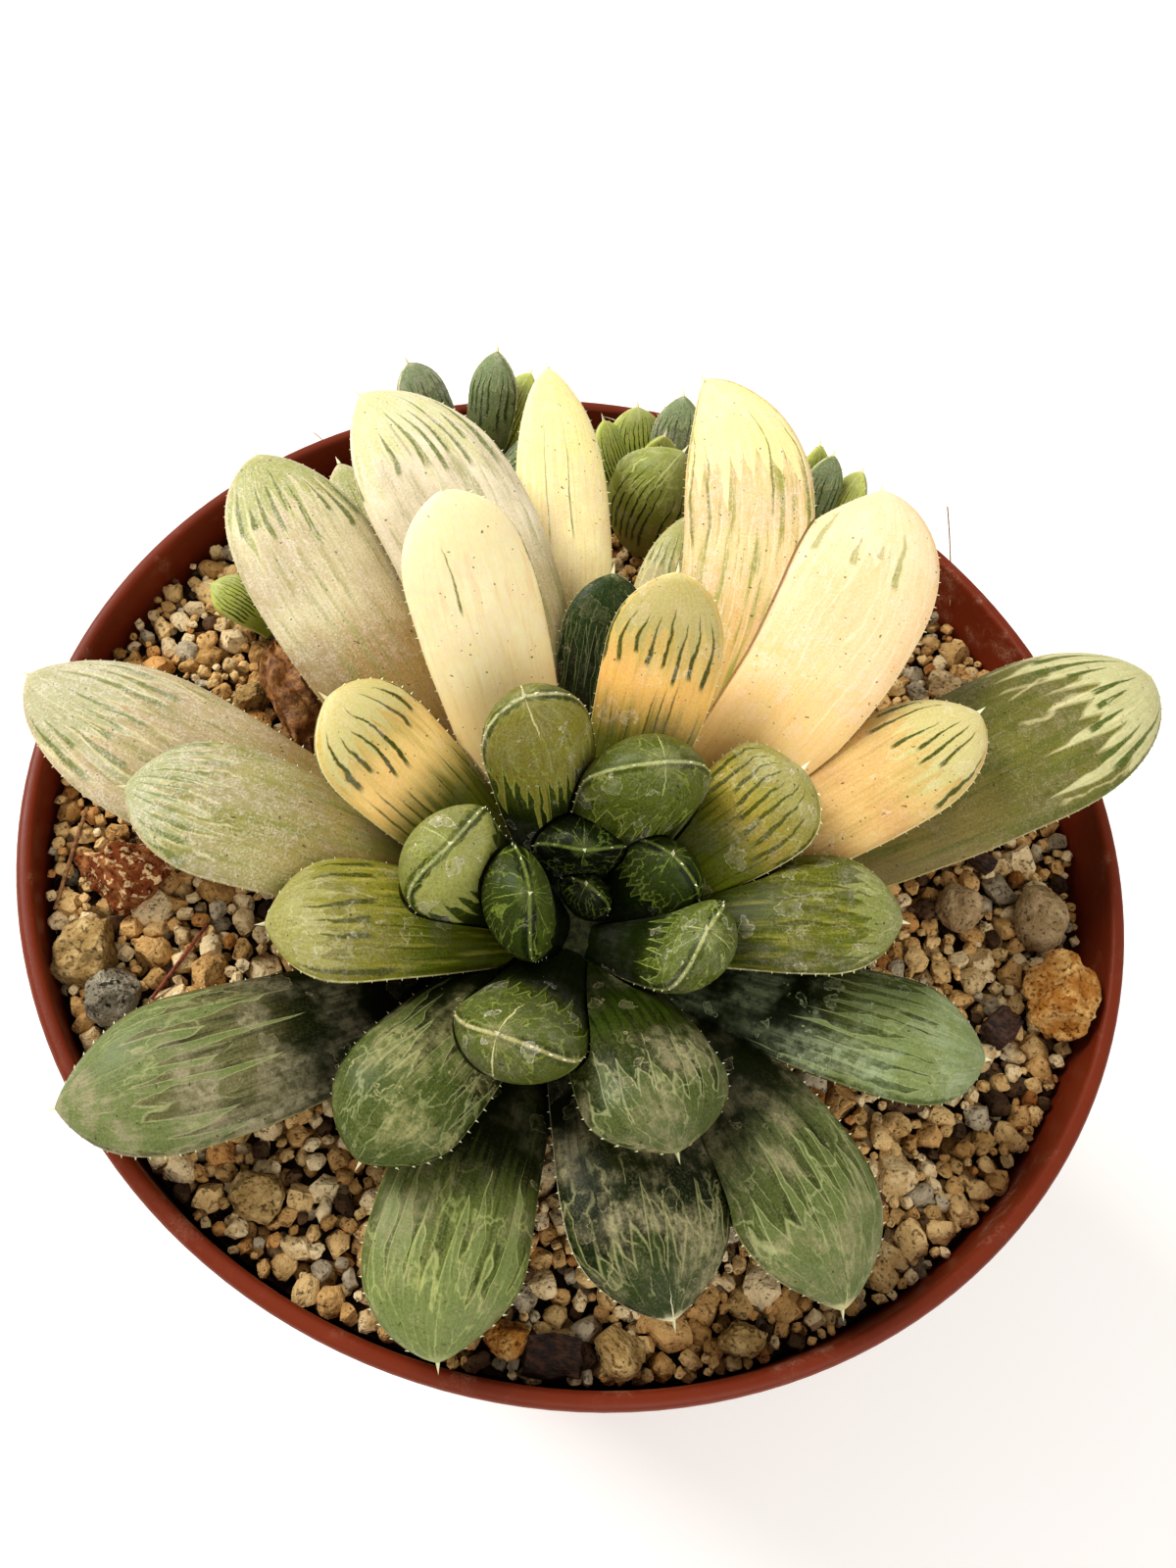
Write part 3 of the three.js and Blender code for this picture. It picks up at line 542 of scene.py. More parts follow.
LEAVES = [
    # The two youngest leaves sit deep in the heart, and their near-black colours are painted shade.
    Leaf((0, 1, 9), (0.5, 1.5, 5), 5, 1.5, 0.26, 0, "heart", {"window": "#1f290a", "body": "#141c04"}),
    Leaf((-1, 2, 13), (-2, 6.5, 8), 8, 1.6, 0.26, 0, "heart",
         {"window": "#141c04", "body": "#0e1402", "vein": "#7f9040"}),
    Leaf((6, 3.5, 14), (7, 3.5, 8), 8, 1.6, 0.26, 35, "heart", {"window": "#3c4a16"}),
    Leaf((-4, -4.5, 16), (-6, -3, 9), 9.5, 1.6, 0.26, 0, "heart",
         {"window": "#505d1e", "veins": 14, "vein_from": 0.68}),
    Leaf((10, -2.5, 15), (11.5, -3, 10), 9, 1.5, 0.26, 0, "glassy",
         {"window": "#646f22", "body": "#424e12", "vein": "#b4c070"}),
    Leaf((3, 8, 20), (2, 10.5, 13), 11, 1.6, 0.28, 35, "glassy", {"window": "#666f26"}),
    Leaf((-11, -3, 17), (-13.5, -2, 11), 10, 1.6, 0.28, -30, "glassy",
         {"window": "#b4b468", "stains": 0.7}),
    Leaf((-9, 8, 23), (-7, 10, 14), 9.5, 1.7, 0.26, 0, "glassy",
         {"window": "#918a3c", "keel": 1.0, "keel_from": 0.8, "fingers": 11, "window_from": 0.6,
          "rim": "#dcd6a0"}),
    Leaf((-3, -15.5, 15), (-0.5, -14.5, 8), 10.5, 1.6, 0.26, 0, "glassy",
         {"window": "#626b2e", "keel": 1.0, "keel_from": 0.72, "stains": 0.6, "rim": "#d4cb92"}),
    Leaf((14.5, 14, 16), (13, 11.5, 14), 11, 1.6, 0.2, 0, "striped",
         {"body": "#a0984a", "window": "#a09a58", "middle": "#a8993e", "stripes": 9, "stripe_from": 0.52,
          "stripe_width": 0.17, "network": 0.2}),
    Leaf((-0.5, 23.5, 24), (1.5, 19, 17), 10, 1.7, 0.16, 0, "striped",
         {"stripe_from": 0.62, "window": "#c0b578", "base_reach": 0.49}),
    Leaf((-24.5, 6, 17), (-19, 5, 14), 11, 1.7, 0.16, 0, "striped",
         {"middle": "#f8dc98", "base_reach": 0.47}),
    Leaf((26, 5, 12), (18, 3.5, 14), 10.8, 1.4, 0.2, 0, "striped",
         {"body": "#666c22", "window": "#8c9150", "middle": "#72741a", "base": "#465008", "stripes": 9,
          "stripe_from": 0.52, "stripe_to": 0.82, "stripe_width": 0.2, "streak": "#a8a044",
          "streaks": 0.4, "window_from": 0.82, "network": 0.2}),
    Leaf((-23, -11.5, 11), (-15.5, -9, 14), 10.5, 1.4, 0.2, 0, "striped",
         {"body": "#98943f", "window": "#a39e5c", "middle": "#8f8a2e", "stripe_from": 0.56,
          "stripe_to": 0.86, "stripe_width": 0.18, "streak": "#b8ae58", "streaks": 0.4,
          "window_from": 0.8, "network": 0.2}),
    Leaf((12.5, -18.5, 10), (9, -13.5, 12), 12, 1.3, 0.22, 0, "dark",
         {"window": "#5a6434", "stains": 0.9, "base": "#3c4a10", "body": "#3a4810", "tip_spot": 0.5}),
    Leaf((-10, -25.5, 7), (-8.5, -19, 12), 11, 1.5, 0.22, 0, "dark",
         {"stains": 0.9, "window_from": 0.62, "haze": "#b0ab78"}),
    Leaf((-21, 23.5, 25), (-16, 19.5, 17), 11.5, 1.8, 0.16, 0, "yellow",
         {"body": "#fff5cc", "window": "#fbf0c0", "middle": "#fbe8b6", "base": "#f0d898",
          "stripes": 9, "stripe_missing": 0.72}),
    Leaf((29, 26, 15), (23, 17.5, 13), 11, 1.6, 0.16, 0, "striped",
         {"base": "#d8bc69", "base_reach": 0.3, "base_lines": 0.0, "body": "#d6c080", "middle": "#e0bf80",
          "stripes": 9, "stripe_from": 0.68, "stripe_to": 0.95}),
    Leaf((15, 41.5, 22), (18, 29.5, 17), 15, 1.5, 0.16, 0, "yellow",
         {"body": "#f4d8ac", "window": "#ecdab0", "below": "#f4ecd6", "streaks": 0.1, "clouds": 0.5,
          "stripe": "#b3b278", "stripes": 7, "stripe_missing": 0.5, "stripe_width": 0.16,
          "stripe_from": 0.74}),
    Leaf((-3.5, 48.5, 22), (12.5, 36.5, 19), 12, 1.5, 0.16, 0, "yellow",
         {"streaks": 0.85, "body": "#ecd6a2", "middle": "#dfc082", "streak": "#989c40", "bloom": 0.4}),
    Leaf((37, -1.5, 5), (28, -4, 9), 11, 1.35, 0.16, 0, "dark",
         {"window": "#84905a", "body": "#5e6a34", "middle": "#72763e", "stains": 0.9, "tip_spot": 0.8,
          "clouds": 1.0, "haze": "#a9b38e"}),
    Leaf((-37.5, -4.5, 12), (-28, -3.5, 14), 12, 1.5, 0.16, 0, "bloomy",
         {"window": "#a9ab7c", "body": "#b3ab76", "middle": "#b0a065", "streaks": 0.75}),
    Leaf((-33.5, 37.5, 18), (-16.5, 30, 17), 14.5, 1.6, 0.16, 0, "bloomy",
         {"body": "#f2e8cc", "window": "#d9d6a2", "middle": "#c2b48a"}),
    Leaf((16, -29, 4), (11, -21, 8), 13, 1.15, 0.16, 0, "dark",
         {"keel": 1.0, "keel_from": 0.86, "vein": "#b8b680", "edging": 1.0, "rim": "#ece4c0",
          "window": "#36421a", "body": "#1e2806", "middle": "#4a4a24", "outline": 0.5, "clouds": 0.9,
          "window_from": 0.8, "finger_depth": 0.2, "tip_spot": 1.0}),
    Leaf((28.5, -24.5, 4), (24, -15, 9), 12.5, 1.25, 0.16, 0, "dark",
         {"body": "#57612f", "window": "#6b7644", "middle": "#7a8050", "keel": 0.9, "keel_from": 0.9,
          "finger_depth": 0.2, "rim": "#d6cf9c", "tip_spot": 1.0}),
    Leaf((-40.5, 29.5, 15), (-29, 17.5, 13), 13.5, 1.8, 0.16, 0, "bloomy", {"body": "#ddd3ae"}),
    Leaf((-6, 28, 16), (-4.5, 22, 11), 8.5, 1.6, 0.16, 0, "dark",
         {"window": "#34481f", "body": "#2b3c1a", "clouds": 0.1, "network": 0.1}),
    Leaf((-1, 40, 13), (2, 28, 10), 9, 1.6, 0.16, 0, "bloomy", {"body": "#c3b983", "bloom": 0.2}),
    Leaf((-19, 51.5, 15), (-10, 32.5, 11), 9.2, 1.6, 0.16, 0, "yellow",
         {"body": "#fbf0bc", "middle": "#d9c584", "stripes": 12}),
    Leaf((47, 40.2, 10.5), (34, 25.4, 10), 16, 1.9, 0.16, 0, "bloomy",
         {"window": "#cfcc9a", "body": "#807e3e", "middle": "#94864c", "streaks": 0.6,
          "window_from": 0.82, "streak": "#616a28", "stripe": "#5f6c2c", "bloom": 0.22,
          "clouds": 0.25, "haze": "#cfc4a0"}),
    Leaf((-51, 4, 9), (-33, -0.3, 8.5), 14, 1.6, 0.16, 0, "bloomy",
         {"window": "#b5b288", "body": "#cbbc94", "window_from": 0.84}),
    Leaf((-33.5, -28, 4), (-23, -22.5, 8), 12.5, 1.2, 0.16, 0, "dark",
         {"window": "#76814c", "body": "#706e44", "middle": "#7a7248", "window_from": 0.78,
          "clouds": 1.0, "haze": "#aaa182", "tip_spot": 0.4}),
    Leaf((0, -36.5, 3), (-4, -28, 7), 12.5, 1.4, 0.16, 0, "dark",
         {"window": "#7c8750", "body": "#6b753c", "middle": "#7a8044", "streaks": 0.85,
          "streak": "#3c4a18", "keel": 0.6, "clouds": 0.5, "tip_spot": 0.7, "vein": "#bcc07e"}),
    Leaf((-36, 37.5, 8), (-22, 23, 6), 10, 1.6, 0.16, 0, "bloomy"),
]


def placed(leaf, origin):
    """The leaf with its tip and bow as places in the pot, in mm, and its turn as an angle."""
    heading = math.atan2(leaf.bow[1], leaf.bow[0]) + math.radians(leaf.turn)
    return leaf._replace(tip=origin + leaf.tip, bow=origin + leaf.bow, turn=heading)


def leaf_start(leaf, origin, radius, height):
    """Where the leaf leaves the stem, on the side it grows towards."""
    reach = math.hypot(leaf.bow[0], leaf.bow[1])
    return origin + (radius * leaf.bow[0] / reach, radius * leaf.bow[1] / reach, height)

# %% [markdown]
# ## One leaf against the next
#
# In the rosette every older leaf wraps the younger ones and is dented by them. The youngest leaf is
# made first, and each older one is cut back with a Boolean modifier by slightly fatter copies of the
# younger leaves it meets. What a cut leaves loose is dropped.

# %%
CLEARANCE = 0.3
TIP_KEPT = 1  # mm from the tip in which the cut leaf still has a point


def tree_of(piece):
    return BVHTree.FromPolygons(
        [v.co for v in piece.data.vertices], [p.vertices for p in piece.data.polygons])


def keep_biggest(piece):
    """Drops all but the biggest connected piece of the mesh."""
    shape = bmesh.new()
    shape.from_mesh(piece.data)
    left = set(shape.verts)
    islands = []
    while left:
        grown, fresh = set(), [left.pop()]
        while fresh:
            vert = fresh.pop()
            grown.add(vert)
            near = {edge.other_vert(vert) for edge in vert.link_edges} & left
            left -= near
            fresh.extend(near)
        islands.append(grown)
    islands.sort(key=len)
    bmesh.ops.delete(shape, geom=[v for island in islands[:-1] for v in island], context="VERTS")
    shape.to_mesh(piece.data)
    shape.free()


def cut_back(piece, cutters, tip):
    """Cuts the piece back by each cutter that it meets. A cut that would take its tip is undone."""
    for cutter, cutter_tree in cutters:
        if not tree_of(piece).overlap(cutter_tree):
            continue
        whole = piece.data.copy()
        cut_with(piece, cutter, "MANIFOLD")
        keep_biggest(piece)
        if not any((v.co / MM - Vector(tip)).length < TIP_KEPT for v in piece.data.vertices):
            piece.data = whole
            print(piece.name, "keeps its tip")


leaf_pieces = []
leaf_forms = []
cutters = []
for order, row in enumerate(LEAVES):
    leaf = placed(row, CROWN)
    start = leaf_start(row, CROWN, FIRST_RADIUS + RADIUS_STEP * order, FIRST_HEIGHT - HEIGHT_STEP * order)
    piece = make_leaf(f"leaf_skin_{order + 1:02d}", leaf, start)
    cut_back(piece, cutters, leaf.tip)
    fat = make_leaf(f"fat_{order}", leaf, start, CLEARANCE, 0)
    cutters.append((fat, tree_of(fat)))
    leaf_pieces.append(piece)
    leaf_forms.append((leaf, start))
print("leaves:", len(leaf_pieces), "with", sum(len(p.data.polygons) for p in leaf_pieces), "faces")

# %% [markdown]
# ## Lines along a leaf
#
# Dark stripes, pale veins and soft streaks are all lines that run to the tip. A node group makes
# them once: it cuts the width of the leaf into rows, and in each row draws a line that starts and
# ends at its own random place, is widest at its lower end and runs out to a point.

# %%
LINE_INPUTS = {"Across": 0.0, "Along": 0.0, "Count": 8.0, "From": 0.6, "To": 0.9, "Spread": 0.1,
               "Missing": 0.1, "Width": 0.3, "Waver": 1.0, "Seed": 0.0}
n, given, results = new_group("leaf lines", LINE_INPUTS, {"Mask": 0.0})
line_group = n.tree
waver_place = n.join(given["Across"] * 1.5, given["Along"] * 6.0, given["Seed"])
waver = n.noise(waver_place, 1.0, 3.0) - 0.5
row = given["Across"] * (given["Count"] * 0.5)
row = row + waver * given["Waver"] + given["Seed"]
cell = n.math("FLOOR", row)
off_line = n.math("ABSOLUTE", n.math("FRACT", row) - 0.5)
dice = n.apart(n.add("ShaderNodeTexWhiteNoise", {"Vector": n.join(cell, given["Seed"])}, 1))
start = given["From"] + (dice[0] - 0.5) * given["Spread"]
end = given["To"] - dice[1] * given["Spread"]
share = n.math("DIVIDE", given["Along"] - start, end - start)
taper = given["Width"] * n.ramp(share, 0.15, 1.0, 1.0, 0.25)
rough_edge = n.noise(waver_place, 9.0) * 0.12
line = n.ramp(off_line + rough_edge, taper, taper + 0.12, 1.0, 0.0)
ends = n.ramp(share, 0.0, 0.12) * n.ramp(share, 0.85, 1.0, 1.0, 0.0)
shown = ends * n.math("GREATER_THAN", dice[2], given["Missing"])
n.fill(results, {"Mask": line * shown})

# %% [markdown]
# ## The edge of a window
#
# The clear window at the end of a leaf doesn't stop along a straight line. Its edge runs out in
# pointed fingers between the green lines, and a pale outline follows it.

# %%
EDGE_INPUTS = {"Across": 0.0, "Along": 0.0, "Count": 8.0, "Place": 0.78, "Depth": 0.12, "Seed": 0.0}
n, given, results = new_group("window edge", EDGE_INPUTS, {"Window": 0.0, "Outline": 0.0})
edge_group = n.tree
edge_place = n.join(given["Across"] * 2.2, given["Along"] * 7.0, given["Seed"])
bend = n.noise(edge_place, 1.0, 2.0) - 0.5
row = given["Across"] * (given["Count"] * 0.5)
row = row + bend * 1.1 + given["Seed"]
finger = 1.0 - 2.0 * n.math("ABSOLUTE", n.math("FRACT", row) - 0.5)
dice = n.add("ShaderNodeTexWhiteNoise", {"Vector": n.join(n.math("FLOOR", row), given["Seed"])})
reach = given["Depth"] * (0.3 + dice)
border = given["Place"] - reach * finger
border = border + bend * (given["Depth"] * 1.4)
beyond = given["Along"] - border
n.fill(results, {"Window": n.ramp(beyond, 0.0, 0.015),
                 "Outline": n.ramp(n.math("ABSOLUTE", beyond), 0.005, 0.026, 1, 0)})

# %% [markdown]
# ## The skin of a leaf
#
# A second group paints the skin in layers, one over the other. Its inputs are the colours of the
# layers, where each begins on the way from base to tip, and how strongly it shows. What a leaf
# doesn't say for itself, it takes from this list.

# %%
SKIN = {
    "body": "#f0e0a8", "window": "#e6d9a0", "middle": "#ecc77a", "base": "#c9a85a", "below": "#d9cf98",
    "vein": "#e9e4b8", "stripe": "#3f4a12", "streak": "#8f9640", "haze": "#f6ecdf", "rim": "#ece5b4",
    "base_reach": 0.3, "body_from": 0.6, "window_from": 0.78,
    "stripes": 8.0, "stripe_from": 0.6, "stripe_to": 0.93, "stripe_width": 0.22, "stripe_missing": 1.0,
    "veins": 9.0, "vein_from": 0.7, "vein_to": 1.0, "vein_width": 0.1, "vein_share": 0.0,
    "fingers": 9.0, "finger_depth": 0.12, "outline": 0.0,
    "streaks": 0.0, "bloom": 0.15, "stains": 0.0, "keel": 0.0, "keel_from": 0.8, "edging": 0.6,
    "base_lines": 0.0, "clouds": 0.2, "tip_spot": 0.2, "network": 0.0,
    "seed": 0.0,
}
SKIN_INPUTS = {key: colour(value) if isinstance(value, str) else value for key, value in SKIN.items()}
n, given, results = new_group(
    "leaf skin", SKIN_INPUTS, {"Color": colour("#ffffff"), "Roughness": 0.5, "Height": 0.0})
skin_group = n.tree
print("inputs of the skin:", len(SKIN))

# %% [markdown]
# First the place on the leaf, from its own coordinates, and noise of three sizes. Then the zones
# from base to tip, each fading into the next along an uneven border: the base, a middle zone, the
# body and the window. The underside has its own colour.

# %%
on_leaf = n.apart(n.add("ShaderNodeUVMap", uv_map="leaf"))
from_edge = n.apart(n.add("ShaderNodeUVMap", uv_map="from_edge"))[0]
place = n.place()
turns = on_leaf[0] * (2 * math.pi)
along = on_leaf[1]
across = n.math("COSINE", turns) * -1.0
above = n.ramp(n.math("SINE", turns), -0.06, 0.06)
face_across = across + above * 20.0
big = n.noise(place, 0.22, 3.0, 0.55)
small = n.noise(place, 1.3, 3.0, 0.6)
fine = n.noise(place, 5.5, 2.0, 0.6)
streak_place = n.join(face_across * 9.0, along * 5.0, given["seed"])
streaky = n.noise(streak_place, 1.0, 3.0, 0.6)
uneven = along + (streaky - 0.5) * 0.16

# The base colour is dark in most kinds: partly the leaf's own green, partly painted shade in the deep
# gaps round the crown.
skin = n.mix(n.ramp(uneven, given["base_reach"] - 0.1, given["base_reach"] + 0.1), given["base"],
             given["middle"])
skin = n.mix(n.ramp(uneven, given["body_from"] - 0.16, given["body_from"]), skin, given["body"])
skin = n.mix(n.ramp(big, 0.35, 0.7, 0, 0.42), skin, n.mix(1.0, skin, given["middle"], "MULTIPLY"))
streak = n.ramp(streaky, 0.48, 0.68)
skin = n.mix(streak * given["streaks"], skin, given["streak"])
edge_places = {"Across": face_across, "Along": along, "Count": given["fingers"], "Seed": given["seed"],
               "Place": given["window_from"], "Depth": given["finger_depth"]}
window, window_outline = n.add("ShaderNodeGroup", edge_places, ALL, node_tree=edge_group)
inside = n.ramp(from_edge + small * 0.8, 0.8, 1.1)
skin = n.mix(window * inside, skin, given["window"])
skin = n.mix((1.0 - above) * 0.55, skin, given["below"])
outline = window_outline * inside * given["outline"]
skin = n.mix(outline, skin, given["vein"])

# %% [markdown]
# Over the zones run the lines: dark stripes towards the tip, low ones that rise from the base, pale
# veins, and a fine net between the veins.

# %%
def lines(prefix, missing, spread, waver):
    """A set of lines on the leaf, from the group, with the values of this skin."""
    places = {"Across": face_across, "Along": along, "Count": given[prefix + "s"],
              "From": given[prefix + "_from"], "To": given[prefix + "_to"], "Spread": spread,
              "Missing": missing, "Width": given[prefix + "_width"], "Waver": waver,
              "Seed": given["seed"]}
    return n.add("ShaderNodeGroup", places, node_tree=line_group)


stripe = lines("stripe", given["stripe_missing"], 0.12, 1.2)
skin = n.mix(stripe * n.ramp(small, 0.2, 0.45, 0.75, 1.0), skin, given["stripe"])
low_places = {"Across": face_across, "Along": along, "Count": given["stripes"] + 4.0, "From": 0.1,
              "To": given["base_reach"] + 0.16, "Spread": 0.2, "Missing": 0.08, "Width": 0.26,
              "Waver": 0.8, "Seed": given["seed"] + 4.0}
low_line = n.add("ShaderNodeGroup", low_places, node_tree=line_group)
skin = n.mix(low_line * given["base_lines"], skin, given["stripe"])
vein = lines("vein", 0.12, 0.2, 2.4) * given["vein_share"]
vein = vein * n.ramp(small, 0.3, 0.5, 0.35, 1.0)
skin = n.mix(vein, skin, given["vein"])
net_place = n.join(face_across * 2.6, along * 6.5, given["seed"])
net_place = n.warp(net_place, 1.6, 3.0, 1.1)
net = n.add("ShaderNodeTexVoronoi", {"Vector": net_place, "Scale": 0.9}, feature="DISTANCE_TO_EDGE")
net = n.ramp(net, 0.012, 0.05, 1, 0) * n.ramp(n.noise(net_place, 1.3), 0.42, 0.56)
net = net * (given["network"] * n.ramp(along, 0.4, 0.6))
skin = n.mix(net, skin, given["vein"])

# %% [markdown]
# The keel, the margin and the tip are pale. A bloom of fine specks and whitish clouds lie on the
# skin like dust.

# %%
off_keel = n.math("ABSOLUTE", across + (small - 0.5) * 0.14)
keel_width = n.ramp(uneven, given["keel_from"], 1.0, 0.0, 0.055)
keel_begun = n.math("GREATER_THAN", uneven, given["keel_from"])
keel = n.ramp(off_keel, keel_width * 0.3, keel_width, 1, 0) * keel_begun
skin = n.mix(keel * given["keel"], skin, given["rim"])
margin = n.ramp(from_edge, 0.04, 0.24, 1, 0) * given["edging"]
skin = n.mix(margin * n.ramp(small, 0.3, 0.6, 0.4, 1.0), skin, given["rim"])
at_tip = n.ramp(along + (small - 0.5) * 0.05, 0.955, 0.985)
skin = n.mix(at_tip * given["tip_spot"], skin, given["rim"])
speckle = n.ramp(fine, 0.42, 0.62) * n.ramp(small, 0.35, 0.65)
bloom = given["bloom"] * n.ramp(along, 0.3, 0.6)
skin = n.mix(speckle * bloom, skin, given["haze"])
cloud = n.ramp(big, 0.44, 0.64) * n.ramp(along, 0.3, 0.6, 0.5, 1.0)
cloud = cloud * (n.ramp(small, 0.32, 0.6, 0.25, 1.0) * n.ramp(streaky, 0.35, 0.65, 1.0, 0.45))
skin = n.mix(cloud * given["clouds"], skin, given["haze"])

# %% [markdown]
# Drops of water have dried on many leaves, and each has left a thin ring and a faint film. Last come
# the shade between fine ridges, brown dots, and the relief.

# %%
drop_places = {"Vector": n.warp(place, 0.8, 2.0, 2.4), "Scale": 0.42, "Randomness": 1.0}
from_drop, drop_dice = n.add("ShaderNodeTexVoronoi", drop_places, ALL)[:2]
own = n.apart(drop_dice)
drop_size = n.ramp(own[0], 0.0, 1.0, 0.1, 0.42)
shown = n.math("GREATER_THAN", own[1], 0.45) * given["stains"]
off_ring = n.math("ABSOLUTE", from_drop - drop_size)
ring = n.ramp(off_ring, 0.006, 0.035, 1, 0) * n.ramp(fine, 0.3, 0.6, 0.2, 0.9)
film = n.ramp(from_drop, drop_size - 0.05, drop_size, 1, 0) * n.ramp(small, 0.35, 0.65, 0.05, 0.35)
stain = n.math("MAXIMUM", ring, film) * shown
skin = n.mix(stain, skin, given["haze"])
hair_place = n.join(face_across * 24.0, along * 9.0, given["seed"])
ridges = n.noise(hair_place, 1.0, 2.0, 0.6)
hair = n.ramp(ridges, 0.4, 0.7, 0, 0.18)
shade = hair + (n.ramp(fine, 0.35, 0.65, 0.2, 0) + n.ramp(small, 0.35, 0.7, 0, 0.14))
skin = n.mix(shade, skin, n.mix(1.0, skin, n.mix(0.6, skin, given["middle"]), "MULTIPLY"))
dots = n.ramp(n.noise(place, 3.1, 0.0), 0.8, 0.84)
skin = n.mix(dots * 0.7, skin, colour("#3b2f18"))

sheen = n.ramp(fine + big, 0.7, 1.3, 0.3, 0.5)
relief = n.noise(place, 2.6, 2.0, 0.5) * 0.6 + vein * 0.5
relief = relief - stripe * 0.25
relief = relief + ridges * 0.6 + stain * 0.3
n.fill(results, {"Color": skin, "Roughness": sheen + given["bloom"] * 0.15,
                 "Height": relief + fine * 0.35})

# %% [markdown]
# There are eight kinds of leaf. Each is given by what sets it apart from the list above, and the
# table of leaves has said what is one leaf's own.

# %%
LOOKS = {
    # The heart's near-black colours are partly the leaves' dark green and partly painted shade deep in
    # the rosette.
    "heart": {"body": "#1f2c07", "window": "#2c3b0b", "middle": "#151f03", "base": "#101702",
              "below": "#27340a", "vein": "#93a24a", "veins": 11, "vein_from": 0.6, "vein_to": 0.95,
              "vein_share": 0.8, "vein_width": 0.11, "body_from": 0.5, "window_from": 0.62,
              "edging": 0.7, "rim": "#94a24e", "keel": 0.7, "keel_from": 0.84, "finger_depth": 0.2,
              "outline": 0.6, "bloom": 0.02, "clouds": 0.03, "stains": 0.12, "network": 0.65},
    "glassy": {"body": "#525b14", "window": "#74782f", "middle": "#3f4a0c", "base": "#232d04",
               "below": "#5c6320", "vein": "#a9b058", "veins": 10, "vein_from": 0.64, "vein_to": 0.9,
               "vein_share": 0.55, "vein_width": 0.06, "body_from": 0.55, "window_from": 0.66,
               "keel": 0.75, "keel_from": 0.84, "finger_depth": 0.24, "outline": 0.75, "stains": 0.4,
               "streaks": 0.5, "streak": "#263206", "edging": 0.85, "rim": "#c4c886", "bloom": 0.08,
               "stripe": "#24310a", "base_lines": 0.6, "base_reach": 0.46, "clouds": 0.1,
               "network": 0.5},
    "striped": {"body": "#d4c07a", "window": "#cfc68a", "middle": "#f4cc7c", "base": "#626c12",
                "below": "#83853a", "base_reach": 0.5, "body_from": 0.72, "stripe_missing": 0.12,
                "stripe": "#54560a", "stripe_width": 0.14, "streaks": 0.2, "streak": "#979032",
                "edging": 0.9, "rim": "#f4eebc", "bloom": 0.1, "stains": 0.35, "base_lines": 0.85,
                "clouds": 0.12},
    "yellow": {"body": "#fbedb4", "window": "#f1e6a6", "middle": "#f5d99c", "base": "#dcb868",
               "below": "#f0dca4", "stripe": "#8a8c44", "stripe_missing": 0.6, "stripe_width": 0.1,
               "body_from": 0.56, "streaks": 0.35, "streak": "#ecca90", "bloom": 0.35,
               "rim": "#fbf3c8", "stains": 0.45, "haze": "#f8e6d4", "veins": 12, "vein_share": 0.3,
               "vein": "#fdf6dc", "vein_from": 0.45, "vein_width": 0.08, "clouds": 0.4},
    "bloomy": {"body": "#d9c898", "window": "#b3b478", "middle": "#b59c66", "base": "#836834",
               "below": "#c2b488", "vein": "#e6ddac", "veins": 10, "vein_from": 0.72,
               "vein_share": 0.6, "vein_width": 0.09, "streaks": 0.55, "streak": "#90914a",
               "bloom": 0.38, "finger_depth": 0.16, "outline": 0.4, "rim": "#eae0b2",
               "window_from": 0.86, "stripe": "#80874e", "stripe_missing": 0.2, "stripes": 11,
               "stripe_from": 0.74, "stripe_to": 0.96, "clouds": 0.3,
               "stains": 0.25},
    "dark": {"body": "#2c380a", "window": "#525e2a", "middle": "#4a4a20", "base": "#1b2004",
             "below": "#3a4012", "vein": "#b4b684", "vein_from": 0.62, "vein_share": 0.4,
             "vein_width": 0.06, "streaks": 0.7, "streak": "#161e04", "bloom": 0.2, "stains": 0.6,
             "haze": "#a9a07c", "edging": 0.8, "rim": "#b0b47a", "window_from": 0.77,
             "finger_depth": 0.3, "outline": 0.6, "clouds": 0.8, "base_lines": 0.5,
             "base_reach": 0.5, "stripe": "#131b04", "network": 0.45},
    "pup_green": {"body": "#c8ce6e", "window": "#b4bc68", "middle": "#b6bc58", "base": "#929a3c",
                  "below": "#6f7630", "vein": "#d6d892", "veins": 8, "vein_share": 0.7,
                  "stripe": "#33450f", "stripe_missing": 0.1, "stripes": 12, "stripe_from": 0.3,
                  "stripe_to": 0.96, "stripe_width": 0.2, "edging": 0.8, "rim": "#d6d794",
                  "bloom": 0.06, "outline": 0.3, "keel": 0.8, "keel_from": 0.7, "stains": 0.2,
                  "network": 0.3},
    "pup_pale": {"body": "#8d9a6c", "window": "#96a47a", "middle": "#768250", "base": "#565c2c",
                 "below": "#768256", "vein": "#c4ca9c", "veins": 7, "vein_share": 0.5, "bloom": 0.2,
                 "edging": 0.8, "outline": 0.5, "stripe": "#41542c", "stripe_missing": 0.3,
                 "stripe_from": 0.45, "clouds": 0.3},
}


def leaf_material(name, look, changes, seed):
    """The material of one leaf: a kind of skin, and what is its own."""
    values = {**SKIN, **LOOKS[look], **changes, "seed": seed}
    values = {key: colour(value) if isinstance(value, str) else value for key, value in values.items()}
    leaf_nodes, _ = blank(name)
    skin_outputs = leaf_nodes.add("ShaderNodeGroup", values, ALL, node_tree=skin_group)
    return finished(leaf_nodes, *skin_outputs, 0.35, 0.12, Subsurface_Weight=0.12,
                    Subsurface_Scale=0.0012, Specular_IOR_Level=0.14)


TONES = {"heart": "dark", "glassy": "green", "striped": "yellow", "bloomy": "pale"}
SEED_STEP = 3.7
for number, (piece, row) in enumerate(zip(leaf_pieces, LEAVES), 1):
    node_name = f"leaf_{number:02d}"
    piece.data.materials.clear()
    piece.data.materials.append(leaf_material(node_name, row.look, row.changes, SEED_STEP * number))
    settle(piece, f"leaf_{TONES.get(row.look, row.look)}", node_name, angle=40)
print("leaf skins:", len(leaf_pieces))

